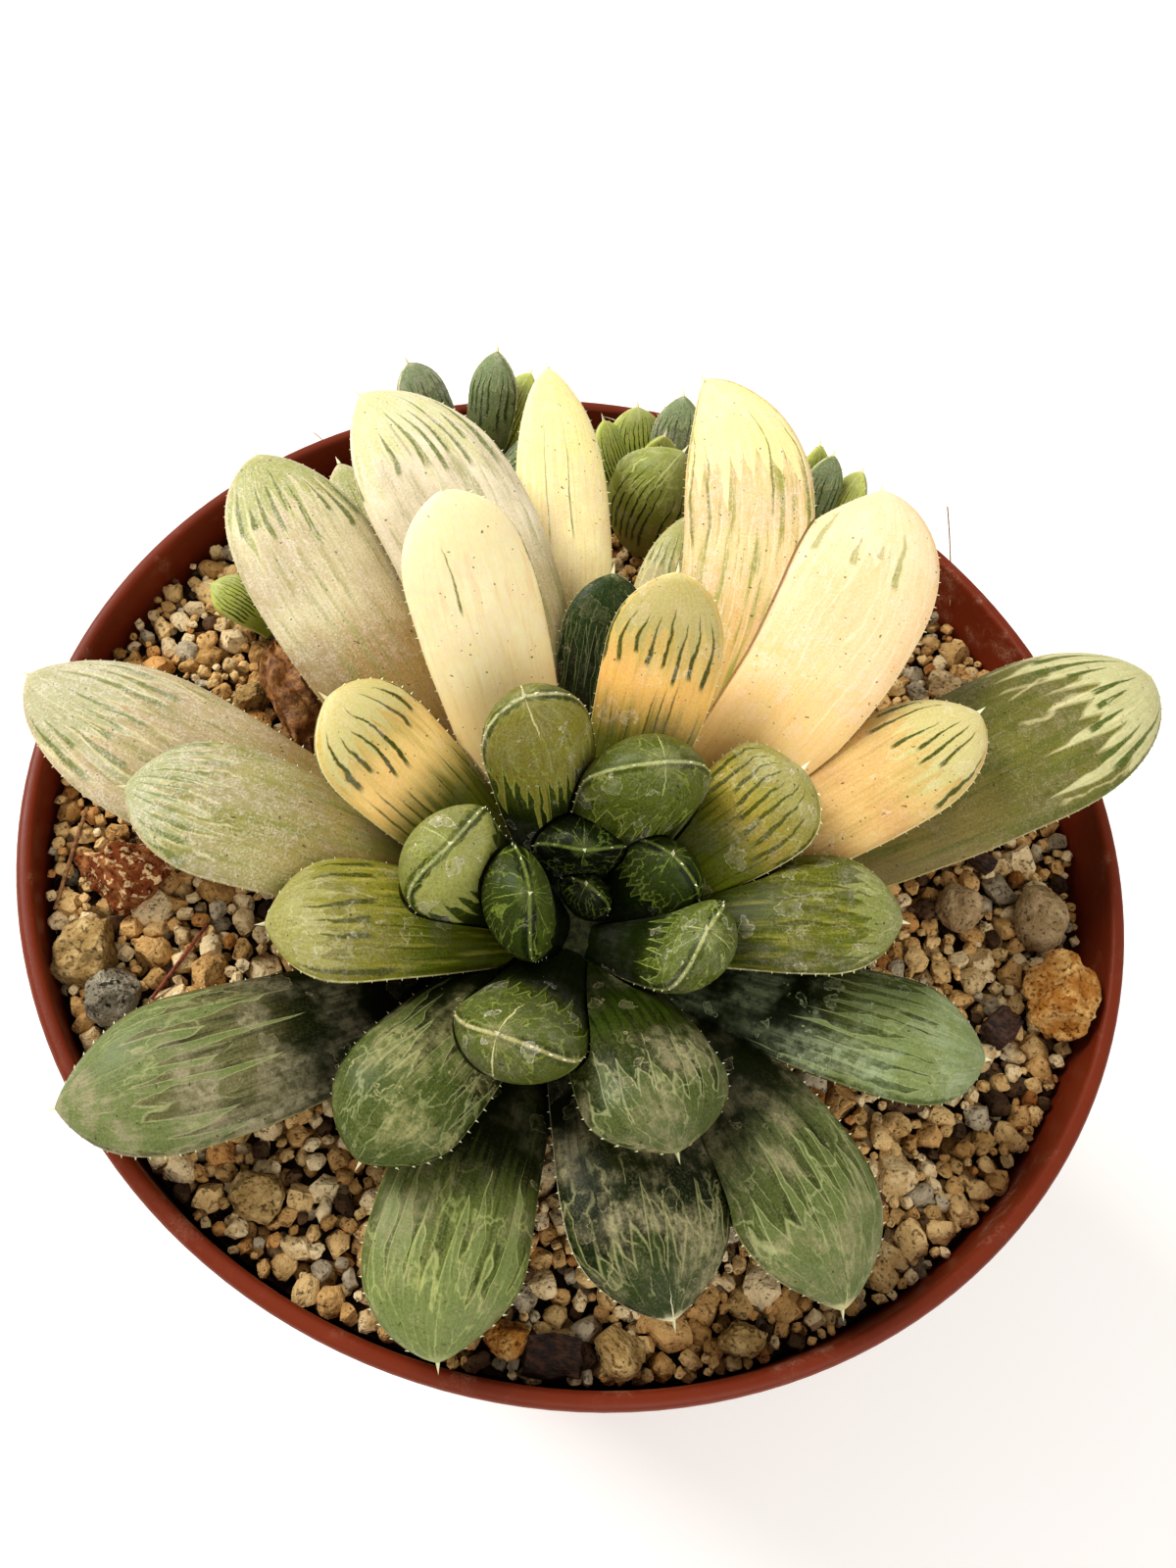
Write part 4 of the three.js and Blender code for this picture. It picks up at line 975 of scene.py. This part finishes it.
# %% [markdown]
# ## The four offsets
#
# Behind and beside the rosette grow four small heads of their own. They have the same kind of leaf,
# only smaller, so the same form is used, and the leaves of each head are joined into one object.

# %%
PUP_START_RADIUS, PUP_START_HEIGHT = 0.8, -3.5
PUP_SEED = 5.3
PUPS = {
    "pup_back": ((-4, 36), [
        Leaf((1.5, -1.5, 12), (-1.5, -6, 5), 10, 1.5, look="pup_green"),
        Leaf((-5, 8.5, 6.5), (-4, 6, 3), 6.5, 1.4, look="pup_green"),
        Leaf((-8, 5.5, 6), (-5.5, 3, 3), 5, 1.4, look="pup_green"),
        Leaf((-0.5, 9.5, 9), (0.5, 6, 5), 5.5, 1.3, look="pup_pale"),
        Leaf((6, 4.5, 8), (5, 2.5, 3), 6, 1.4, look="pup_green"),
        Leaf((-1, 3, 9), (-1, 2, 4), 4.5, 1.4, look="pup_green"),
    ]),
    "pup_left": ((-24, 34.5), [
        Leaf((-9.5, 4.5, 8), (-6, 2.5, 4), 6.5, 1.5, look="pup_pale"),
        Leaf((-0.5, 7, 11), (0.5, 4, 5), 5.5, 1.4, look="pup_pale"),
        Leaf((3, 8.5, 8), (2, 5, 4), 4.5, 1.4, look="pup_green"),
        Leaf((6, 1.5, 5), (4, 1, 3), 5, 1.5, look="pup_pale"),
    ]),
    "pup_right": ((13, 37), [
        Leaf((-2, 6.5, 10), (-1, 3, 5), 4, 1.4, look="pup_green"),
        Leaf((-0.5, 4.5, 11), (-0.5, 1.5, 6), 4.5, 1.4, look="pup_pale"),
        Leaf((3, 4.5, 10), (2.5, 2, 4), 5, 1.4, look="pup_green"),
        Leaf((5, -1, 5), (3.5, 0, 2), 4.5, 1.4, look="pup_green"),
    ]),
    "pup_small": ((-36, 9), [
        Leaf((-7.5, 0.5, 0.5), (-4, 0.5, 0), 5, 1.3, look="pup_green"),
        Leaf((-4, 5, 2.5), (-2.5, 3, 0), 4, 1.4, look="pup_green"),
        Leaf((1, 5.5, 2), (1, 3, 0), 4, 1.4, look="pup_green"),
    ]),
}


def joined(name, pieces):
    """Joins pieces into one object with that name."""
    bpy.ops.object.select_all(action="DESELECT")
    for piece in pieces:
        piece.select_set(True)
    bpy.context.view_layer.objects.active = pieces[0]
    if len(pieces) > 1:
        bpy.ops.object.join()
    pieces[0].name = name
    pieces[0].data.name = name
    bpy.ops.object.select_all(action="DESELECT")
    return pieces[0]


pup_skins = {look: leaf_material(look, look, {}, PUP_SEED) for look in ("pup_green", "pup_pale")}
pup_forms = []
for node_name, (middle, rows) in PUPS.items():
    origin = np.array((*middle, RIM / MM))
    parts = []
    for row in rows:
        leaf = placed(row, origin)
        start = leaf_start(row, origin, PUP_START_RADIUS, PUP_START_HEIGHT)
        part = make_leaf(node_name + "_part", leaf, start)
        cut_back(part, cutters, leaf.tip)
        part.data.materials.clear()
        part.data.materials.append(pup_skins[row.look])
        parts.append(part)
        pup_forms.append((leaf, start))
    leaf_pieces.append(settle(joined(node_name + "_skin", parts), "pup", node_name, angle=40))
for fat, _ in cutters:
    bpy.data.objects.remove(fat)
print("offsets:", ", ".join(PUPS))

# %% [markdown]
# ## Teeth along the margins
#
# Every margin has tiny whitish teeth, a bit more than a millimetre apart, and every tip ends in a
# soft point. They are three-sided cones. In the rosette a tooth is left out where its leaf has been
# cut back.

# %%
TOOTH_STEP = 1.25
TOOTH_LENGTH = (0.14, 0.28)
TOOTH_WIDTH = 0.11
TOOTH_SINK = 0.1  # how deep its foot stands in the skin
TOOTH_LIFT = 0.12  # teeth turn up a little
TOOTHED = (0.3, 0.985)  # the share of the leaf's length that has teeth
CUT_AWAY = 0.2 * MM  # a margin further than this from its leaf has been cut back
POINT_LENGTH, POINT_WIDTH = 0.9, 0.22
dice = random.Random(TOOTH_SEED)
leaf_trees = [tree_of(piece) for piece in leaf_pieces]


def add_cone(points, faces, foot, way, length, width):
    """A three-sided cone, as four points and three faces."""
    way = Vector(way).normalized()
    first = len(points)
    aside = way.orthogonal().normalized()
    other = way.cross(aside)
    for third in range(3):
        turn = 2 * math.pi * third / 3
        corner = math.cos(turn) * aside + math.sin(turn) * other
        points.append(foot - TOOTH_SINK * way + width * corner)
    points.append(foot + length * way)
    faces.extend([(first, first + 1, first + 3), (first + 1, first + 2, first + 3),
                  (first + 2, first, first + 3)])


tooth_points, tooth_faces = [], []
for order, (leaf, start) in enumerate(leaf_forms + pup_forms):
    chord = np.linalg.norm(leaf.tip - start)
    steps = np.arange(*TOOTHED, TOOTH_STEP / chord)
    for edge_angle in (0.0, math.pi):
        feet, _ = leaf_places(leaf, start, np.full(len(steps), edge_angle), steps)
        outer, _ = leaf_places(leaf, start, np.full(len(steps), edge_angle), steps, 0.5)
        for foot, out in zip(feet, outer):
            owner = leaf_trees[order] if order < len(LEAVES) else None
            if owner and owner.find_nearest(Vector(foot) * MM)[3] > CUT_AWAY:
                continue
            way = Vector(out - foot) + Vector((0, 0, TOOTH_LIFT))
            length = dice.uniform(*TOOTH_LENGTH)
            add_cone(tooth_points, tooth_faces, Vector(foot), way, length, TOOTH_WIDTH)
    tip = Vector(leaf.tip)
    way = Vector(leaf.tip - leaf.bow)
    add_cone(tooth_points, tooth_faces, tip, way, POINT_LENGTH, POINT_WIDTH)
tooth_mesh = bpy.data.meshes.new("margin_teeth")
tooth_mesh.from_pydata([p * MM for p in tooth_points], [], tooth_faces)
teeth = linked("margin_teeth", tooth_mesh)
nodes, place = blank("tooth")
tooth_tint = nodes.mix(nodes.noise(place, 0.8), colour("#dfd9a8"), colour("#f3eccb"))
teeth.data.materials.append(
    finished(nodes, tooth_tint, 0.5, Subsurface_Weight=0.2, Subsurface_Scale=0.0005))
settle(teeth, "leaf_cream", "leaf_01", angle=10)
print("teeth:", len(tooth_faces) // 3)

# %% [markdown]
# ## Crown and dry leaf
#
# The leaves grow from a short thick crown, which is turned like the pot. Low on the left lies a leaf
# that has dried up: thin, brown and crinkled in two lobes.

# %%
CROWN_OUTLINE = [(3.5, -16), (5.6, -11), (7.4, -7), (7.4, -3), (6.7, -1), (5.6, 1), (4.4, 3), (3, 4.5)]
CROWN_SIDES = 40
crown = turn_outline("crown_skin", [(r * MM, h * MM) for r, h in CROWN_OUTLINE], CROWN_SIDES)
crown.location = Vector(CROWN) * MM
only(crown)
bpy.ops.object.transform_apply()
nodes, place = blank("crown")
fibre = nodes.noise(nodes.stretch(place, 1, 1, 0.15), 1.6, 4.0, 0.6)
bark = nodes.mix(nodes.ramp(fibre, 0.35, 0.65), colour("#1e210b"), colour("#474a1e"))
crown.data.materials.append(finished(nodes, bark, 0.75, fibre, 0.6, 0.4))
settle(crown, "stem", "crown")

DRY_LOBES = [
    (Leaf((-35.5, 6.5, -1), (-31, 1, 0), 5.5, 1.4), (-27, -4.5, -4.5)),
    (Leaf((-33, -4.5, -1.6), (-31, -5, -0.6), 4.5, 1.5), (-25.5, -7, -4.5)),
]
lobes = []
LOBE_THINNER, LOBE_RIPPLE, CRINKLE = -0.25, 0.5, 0.3
for row, start in DRY_LOBES:
    leaf = placed(row, np.array((0, 0, RIM / MM)))
    lobe = make_leaf("lobe", leaf, np.array(start) + (0, 0, RIM / MM), LOBE_THINNER, LOBE_RIPPLE)
    normals = [v.normal.copy() for v in lobe.data.vertices]
    for vert, normal, turn in zip(lobe.data.vertices, normals, ball_angle):
        twist = noise.noise(vert.co / MM * 0.25)
        ridge = math.sin(7 * turn + 9 * twist) + noise.noise(vert.co / MM * 0.9)
        vert.co += CRINKLE * MM * ridge * normal
    lobe.data.materials.clear()
    lobes.append(lobe)
dry_leaf = joined("dry_leaf_skin", lobes)
nodes, place = blank("dry_leaf")
wrinkle = nodes.noise(place, 1.1, 5.0, 0.65)
tint = nodes.mix(nodes.ramp(wrinkle, 0.3, 0.7), colour("#5a3212"), colour("#b07a3e"))
tint = nodes.mix(nodes.ramp(nodes.noise(place, 0.5, 2.0), 0.55, 0.7, 0, 0.6), tint, colour("#c49a5c"))
dry_leaf.data.materials.append(finished(nodes, tint, 0.5, wrinkle, 0.8, 0.5))
settle(dry_leaf, "dry_leaf", "dry_leaf", angle=50)
bpy.data.objects.remove(ball)
print("crown and dry leaf made")

# %% [markdown]
# ## The larger stones
#
# Twelve stones stand out from the grit. Each is a ball whose sides are cut flat by a few planes, then
# roughened, and fitted to the box of its solid.

# %%
STONES = {
    # slot, mineral, cut planes, roughness in mm
    "stone_01": ("stone_brown", "red_rock", 9, 0.95), "stone_02": ("stone_tan", "tan_rock", 8, 0.8),
    "stone_03": ("stone_grey", "speckled_rock", 12, 0.5), "stone_04": ("stone_tan", "pale_rock", 8, 0.55),
    "stone_05": ("stone_tan", "pale_rock", 5, 0.25), "stone_06": ("stone_orange", "golden_rock", 7, 1.0),
    "stone_07": ("stone_tan", "tan_rock", 8, 0.7), "stone_08": ("stone_tan", "tan_rock", 8, 0.7),
    "stone_09": ("stone_tan", "tan_rock", 9, 0.65), "stone_10": ("stone_orange", "golden_rock", 7, 0.6),
    "stone_11": ("stone_tan", "pale_rock", 8, 0.6), "stone_12": ("stone_tan", "tan_rock", 8, 0.6),
}


def mineral(name, low, high, spots, spot_share, grain=2.2):
    """A stone's material: two colours in clouds, spots, and small pits darkened with painted shade."""
    nodes, place = blank(name)
    cloud = nodes.noise(place, 0.55, 4.0, 0.65)
    pits = nodes.noise(place, grain, 3.0, 0.6)
    tone = nodes.add("ShaderNodeAttribute", output=2, attribute_name="tone")
    shift = cloud + tone * 0.35
    tint = nodes.mix(nodes.ramp(shift, 0.38, 0.85), colour(low), colour(high))
    tint = nodes.mix(nodes.ramp(nodes.noise(place, 1.3, 2.0), 1 - spot_share, 1.05 - spot_share, 0, 0.85),
                     tint, colour(spots))
    pit_depth_and_shade = nodes.ramp(pits, 0.28, 0.42, 1, 0)
    # painted shade: the pits are darkened towards a dark brown
    tint = nodes.mix(pit_depth_and_shade * 0.55, tint, nodes.mix(1.0, tint, colour("#4e3a26"), "MULTIPLY"))
    height = pits - pit_depth_and_shade * 0.6
    return finished(nodes, tint, nodes.ramp(pits, 0.3, 0.7, 0.95, 0.75), height, 0.9, 0.4,
                    Specular_IOR_Level=0.2)


MINERALS = {
    "red_rock": mineral("red_rock", "#7a3e1c", "#bb8450", "#e0c090", 0.45),
    "tan_rock": mineral("tan_rock", "#a08250", "#e2c690", "#86653a", 0.32),
    "pale_rock": mineral("pale_rock", "#a08660", "#dcc49c", "#806646", 0.25, 1.8),
    "speckled_rock": mineral("speckled_rock", "#8f8672", "#e8dec6", "#23201a", 0.4, 3.5),
    "golden_rock": mineral("golden_rock", "#a06a2a", "#ecc684", "#8e541c", 0.38),
}
chips = random.Random(CHIP_SEED)


def flattened(piece, planes, near=(0.72, 0.95)):
    """Cuts the piece flat with planes at random turns, each at a share of its radius of 1."""
    shape = bmesh.new()
    shape.from_mesh(piece.data)
    for _ in range(planes):
        way = Vector((chips.gauss(0, 1), chips.gauss(0, 1), chips.gauss(0, 1))).normalized()
        place = way * chips.uniform(*near)
        geometry = shape.verts[:] + shape.edges[:] + shape.faces[:]
        made = bmesh.ops.bisect_plane(
            shape, geom=geometry, plane_co=place, plane_no=way, clear_outer=True)
        rim_edges = [e for e in made["geom_cut"] if isinstance(e, bmesh.types.BMEdge)]
        if rim_edges:
            bmesh.ops.holes_fill(shape, edges=rim_edges)
    shape.to_mesh(piece.data)
    shape.free()


STONE_VOXEL = 0.055  # of a ball with the radius 1
STONE_CUTS = (0.5, 0.88)
STONE_NOISE = (0.36, 0.95, 2.1, 5)  # turns per mm, and how its finer layers follow
HIGHEST_BUMP = 0.35
stone_pieces = []
for node_name, (slot_name, kind, planes, bumps) in STONES.items():
    low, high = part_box(node_name)
    half, middle = (Vector(high) - Vector(low)) / 2, (Vector(high) + Vector(low)) / 2
    bpy.ops.mesh.primitive_ico_sphere_add(subdivisions=3, radius=1)
    stone = bpy.context.object
    stone.name = node_name + "_rock"
    flattened(stone, planes, STONE_CUTS)
    bpy.ops.object.modifier_add(type="REMESH")
    stone.modifiers["Remesh"].mode = "VOXEL"
    stone.modifiers["Remesh"].voxel_size = STONE_VOXEL
    bpy.ops.object.modifier_apply(modifier="Remesh")
    coords = np.array([v.co for v in stone.data.vertices])
    reach = np.abs(coords).max(axis=0)
    for vert in stone.data.vertices:
        point = Vector([c / r * h for c, r, h in zip(vert.co, reach, half)]) + middle
        bump = noise.fractal(point / MM * STONE_NOISE[0], *STONE_NOISE[1:])
        vert.co = point + vert.co.normalized() * bumps * MM * min(bump, HIGHEST_BUMP)
    stone.data.materials.append(MINERALS[kind])
    stone_pieces.append(settle(stone, slot_name, node_name, angle=60))
print("stones:", len(STONES))

# %% [markdown]
# ## The bed of grit
#
# The pot is filled with mineral grit. Its inside is one turned body that follows the pot's wall. Its
# top is a rough surface a little under the top of the grit, and loose grains lie on it.

# %%
SOIL_DEPTH, SOIL_TILT, SOIL_TILT_WAY = 4.6, 1.3, math.radians(50)
DISH, DISH_RADIUS = 3, 12
LINER = 0.35 * MM  # the bed stands free of the pot's wall
BED_DEPTH = 1.9
BED_SIDES, BED_RINGS, BED_MIDDLE = 176, 1.15 * MM, 1.0 * MM
BED_NOISE, BED_LUMPS = 0.62, 0.8


def soil_level(x, y):
    """The height of the grit in mm at a place in the pot."""
    tilt = SOIL_TILT * (x * math.cos(SOIL_TILT_WAY) + y * math.sin(SOIL_TILT_WAY)) / (RIM_RADIUS / MM)
    dish = DISH * math.exp(-(math.hypot(x - CROWN[0], y - CROWN[1]) / DISH_RADIUS) ** 2)
    return RIM / MM - SOIL_DEPTH - tilt - dish


bed_top = RIM - (SOIL_DEPTH + BED_DEPTH) * MM
bed_radius = inner_radius - 0.25 * MM - LINER
ring_radii = np.arange(bed_radius, BED_MIDDLE, -BED_RINGS)
bed_outline = [
    (FOOT_RADIUS - WALL - 1.5 * MM - LINER, POT_FLOOR + LINER),
    (FOOT_RADIUS - WALL - LINER, POT_FLOOR + 1.5 * MM + LINER),
    (wall_radius - WALL - LINER, collar_foot - 2 * MM),
    (bed_radius - 0.3 * MM, collar_foot + 1.4 * MM),
    *[(radius, bed_top) for radius in ring_radii],
]
bed = turn_outline("grit_bed", bed_outline, BED_SIDES)
for vert in bed.data.vertices:
    if vert.co.z > bed_top - 0.1 * MM:
        x, y = vert.co.x / MM, vert.co.y / MM
        lumps = noise.fractal((x * BED_NOISE, y * BED_NOISE, 0.0), 0.8, 2.2, 3)
        vert.co.z = (soil_level(x, y) - BED_DEPTH + BED_LUMPS * lumps) * MM
# The bed's near-black browns are painted shade in the gaps between the loose grains.
bed.data.materials.append(mineral("grit_bed", "#2a1c12", "#5a4028", "#7c5c3a", 0.3, 1.6))
settle(bed, "grit", "soil", angle=60)
print("bed:", len(bed.data.polygons), "faces")

# %% [markdown]
# ## Loose grains
#
# The grains are broken pumice: craggy lumps with worn corners, most of them golden beige. Each of the
# shapes starts as a cube whose faces are subdivided and drawn towards a ball; a few planes cut it
# flat, and noise moves its points. Small grains have fewer faces than big ones. The places are drawn
# at random, the biggest grains first. A place too near another grain's is given up, and so is one
# where a leaf, a stone or the stem is in the way, or where a grain would lie all alone. Each grain
# is turned and stretched differently and gets its own tone.

# %%
GRAIN_SHAPES = 24
FINE_FROM = 0.8  # radius in mm
GRAIN_ROUND = 0.8  # how far the cube is drawn towards a ball
GRAIN_CUTS = (0.6, 0.85)
GRAIN_STRETCH = ((0.9, 1.25), (0.8, 1.05), (0.65, 0.95))
FULL_TURN = 6.28
CELL = 4  # mm; places are kept in square cells, to find the near ones fast
TOUCHING = 1.2  # grains this much further apart than their radii still count as touching
GRAINS = [
    # how many tries, smallest and biggest radius in mm, height over the grit's level
    (160, 1.4, 1.85, -0.4), (2200, 0.95, 1.3, -0.3), (12000, 0.62, 0.9, -0.2), (14000, 0.36, 0.54, -0.1),
]
LOWER_GRAINS = [(1500, 0.9, 1.3, -1.9), (9000, 0.55, 0.85, -1.4)]
GRAIN_COLOURS = {
    # share, two tones, spots
    "grain_beige": (0.27, "#c2a069", "#f6dfb2", "#9c7a50"),
    "grain_sand": (0.27, "#b48e56", "#e8c68c", "#8e6b3e"),
    "grain_tan": (0.26, "#a47c46", "#dcb276", "#785934"),
    "grain_grey": (0.08, "#8c7d66", "#c8b99c", "#655a48"),
    "grain_orange": (0.06, "#9c6530", "#d8a566", "#774c24"),
    "grain_dark": (0.06, "#3a2a1c", "#6a5038", "#1e150e"),
}
sand = random.Random(SAND_SEED)

grain_shapes = []
for number in range(GRAIN_SHAPES):
    fine = number % 2
    shape_piece = subdivided_cube("grain_shape", 1 + fine)
    for vert in shape_piece.data.vertices:
        vert.co = vert.co.lerp(vert.co.normalized(), GRAIN_ROUND)
    flattened(shape_piece, 2 + fine, GRAIN_CUTS)
    mesh = shape_piece.data
    for vert in mesh.vertices:
        place = vert.co * 1.1 + Vector((9 * number, 0, 0))
        vert.co = vert.co * (1 + 0.34 * noise.noise(place)) + 0.14 * noise.noise_vector(place * 2.1)
    points = np.array([v.co for v in mesh.vertices])
    faces = [list(face.vertices) for face in mesh.polygons]
    grain_shapes.append((points, faces))
    bpy.data.objects.remove(shape_piece)
print("faces of a grain:", [len(faces) for _, faces in grain_shapes])

together = bmesh.new()
for piece in [*leaf_pieces, *stone_pieces, dry_leaf, crown]:
    together.from_mesh(piece.data)
obstacle_tree = BVHTree.FromBMesh(together)
together.free()


def blocked(point, gap):
    """Whether something is nearer to the point than that gap, or has the point inside."""
    if obstacle_tree.find_nearest(point)[3] < gap:
        return True
    hit, normal, _, _ = obstacle_tree.ray_cast(point, Vector((0, 0, 1)))
    return hit is not None and normal.z > 0


def scatter(sizes, overlap):
    """Draws places for grains of each size, so that no two lie too close: (x, y, z, radius)."""
    cells, found = {}, []
    reach = inner_radius / MM - 0.3
    for tries, smallest, biggest, lift in sizes:
        for _ in range(tries):
            radius = sand.uniform(smallest, biggest)
            distance = (reach - 0.85 * radius) * math.sqrt(sand.random())
            turn = sand.uniform(0, 2 * math.pi)
            x, y = distance * math.cos(turn), distance * math.sin(turn)
            column, line = int(x // CELL), int(y // CELL)
            around = [(column + i, line + j) for i in (-1, 0, 1) for j in (-1, 0, 1)]
            near = [g for cell in around for g in cells.get(cell, ())]
            if any(math.hypot(x - g[0], y - g[1]) < overlap * (radius + g[3]) for g in near):
                continue
            z = soil_level(x, y) + lift + sand.uniform(-0.3, 0.3)
            if blocked(Vector((x, y, z)) * MM, 0.6 * radius * MM):
                continue
            cells.setdefault((column, line), []).append((x, y, z, radius))
            found.append((x, y, z, radius))
    return found


def add_grains(name, grains):
    """One object with a grain at each place."""
    all_points, all_faces, tones, count = [], [], [], 0
    for x, y, z, radius in grains:
        fine = int(radius > FINE_FROM)
        points, faces = grain_shapes[2 * sand.randrange(GRAIN_SHAPES // 2) + fine]
        tip_over = Matrix.Rotation(sand.uniform(0, FULL_TURN), 3, "X")
        turn = tip_over @ Matrix.Rotation(sand.uniform(0, FULL_TURN), 3, "Z")
        stretch = np.array([sand.uniform(*sizes) for sizes in GRAIN_STRETCH])
        flat = np.array(Matrix.Rotation(sand.uniform(0, FULL_TURN), 3, "Z"))
        body = (points @ np.array(turn).T * stretch) @ flat.T
        all_points.append(body * radius + (x, y, z))
        all_faces.extend([[corner + count for corner in face] for face in faces])
        tones.extend([sand.random()] * len(points))
        count += len(points)
    mesh = bpy.data.meshes.new(name)
    mesh.from_pydata(np.concatenate(all_points) * MM, [], all_faces)
    mesh.attributes.new("tone", "FLOAT", "POINT").data.foreach_set("value", tones)
    return linked(name, mesh)


def lying(grains):
    """The grains that lie against another one, or all but, so that none hangs alone in the air."""
    tree = KDTree(len(grains))
    for number, (x, y, z, _) in enumerate(grains):
        tree.insert((x, y, z), number)
    tree.balance()
    kept = []
    for number, (x, y, z, radius) in enumerate(grains):
        near = tree.find_range((x, y, z), radius + GRAINS[0][2])
        if any(other != number and away < TOUCHING * (radius + grains[other][3])
               for _, other, away in near):
            kept.append((x, y, z, radius))
    return kept


loose = lying(scatter(GRAINS, 0.8) + scatter(LOWER_GRAINS, 0.85))
shuffled = sand.sample(loose, len(loose))
taken_so_far = 0
for name, (share, low, high, spots) in GRAIN_COLOURS.items():
    amount = round(share * len(shuffled))
    grains = shuffled[taken_so_far:taken_so_far + amount]
    taken_so_far += amount
    piece = add_grains(name, grains)
    piece.data.materials.append(mineral(name, low, high, spots, 0.3, 1.9))
    settle(piece, "grit", "soil", angle=45)
    print(name, len(grains), "grains,", len(piece.data.polygons), "faces")

# %% [markdown]
# ## Bark, twigs and root hairs
#
# A few other things lie in the grit: dark bits of bark, thin twigs, and dry root fibres against the
# wall. The fibres are curves with a round section. A bit of bark is a cube, subdivided, flattened,
# and broken up with noise.

# %%
STRANDS = {
    # thickness in mm, material, points in mm; heights from the rim
    "twig_1": (0.4, "twig", [(-44.9, -15.6, -3.2), (-43.7, -20.7, -2.4), (-43.0, -25.6, -3.4)]),
    "twig_2": (0.35, "red_twig", [(-30.2, -22.7, -3.6), (-30.6, -26.6, -2.5), (-31.6, -30.6, -3.0)]),
    "fibre_1": (0.16, "twig", [(28.2, 50.6, 0.3), (30.4, 45.0, -2.0), (31.4, 39.6, -3.4)]),
    "fibre_2": (0.12, "twig", [(-43.3, 35.6, -3.0), (-41.0, 33.6, -1.4), (-39.2, 33.0, -3.6)]),
    "fibre_3": (0.1, "pale_hair", [(-14.2, 49.6, -1.2), (-11.1, 48.6, -0.2), (-7.9, 49.8, -1.6)]),
}
STRAND_TINTS = {"twig": ("#6f4a2a", "#a67c4e"), "red_twig": ("#6b3322", "#a4583c"),
                "pale_hair": ("#cfc4ab", "#f0ead8")}
STRAND_SKINS = {}
for name, (low, high) in STRAND_TINTS.items():
    nodes, place = blank(name)
    fibre = nodes.noise(place, 2.5, 3.0)
    tint = nodes.mix(nodes.ramp(fibre, 0.3, 0.7), colour(low), colour(high))
    STRAND_SKINS[name] = finished(nodes, tint, 0.7, fibre, 0.4)

BARK = {
    # middle in mm, height from the rim, half sizes in mm, turn in degrees
    "bark_1": ((9.6, -47.6, -3.6), (2.5, 1.7, 0.9), 12),
    "bark_2": ((42.6, -8.6, -3.7), (1.9, 1.4, 1.0), 60),
    "bark_3": ((38.6, 8.2, -3.5), (1.5, 0.9, 0.8), -25),
}
BARK_CUTS = 7
BARK_ROUND = 0.4  # how far the cube is drawn towards a ball
BARK_SPLIT = 0.3  # how far noise moves its points, in mm
nodes, place = blank("bark")
layers = nodes.noise(nodes.stretch(place, 0.6, 1, 3), 1.6, 4.0, 0.65)
tint = nodes.mix(nodes.ramp(layers, 0.35, 0.7), colour("#1c0f0a"), colour("#5c3a24"))
BARK_SKIN = finished(nodes, tint, 0.65, layers, 0.8, 0.4)
for name, (middle, half, turn) in BARK.items():
    bark = subdivided_cube(name, BARK_CUTS)
    spin = Matrix.Rotation(math.radians(turn), 3, "Z")
    for vert in bark.data.vertices:
        point = vert.co.lerp(vert.co.normalized(), BARK_ROUND)
        point = Vector([c * h for c, h in zip(point, half)])
        layer = Vector((point.x * 0.7, point.y * 2.4, point.z * 1.5)) + Vector(middle)
        split = BARK_SPLIT * noise.noise_vector(layer)
        vert.co = (spin @ (point + split) + Vector(middle) + Vector((0, 0, RIM / MM))) * MM
    bark.data.materials.append(BARK_SKIN)
    settle(bark, "grit", "soil", angle=40)
print("bits of bark:", len(BARK))

for name, (thick, material, points) in STRANDS.items():
    line = bpy.data.curves.new(name, "CURVE")
    line.dimensions = "3D"
    line.bevel_depth = thick / 2 * MM
    line.bevel_resolution = 2
    line.use_fill_caps = True
    spline = line.splines.new("NURBS")
    spline.points.add(len(points) - 1)
    for point, (x, y, z) in zip(spline.points, points):
        point.co = (x * MM, y * MM, RIM + z * MM, 1)
    spline.order_u = 3
    spline.use_endpoint_u = True
    strand = linked(name, line)
    only(strand)
    bpy.ops.object.convert(target="MESH")
    strand.data.materials.append(STRAND_SKINS[material])
    settle(strand, "grit", "soil")
print("strands:", len(STRANDS))
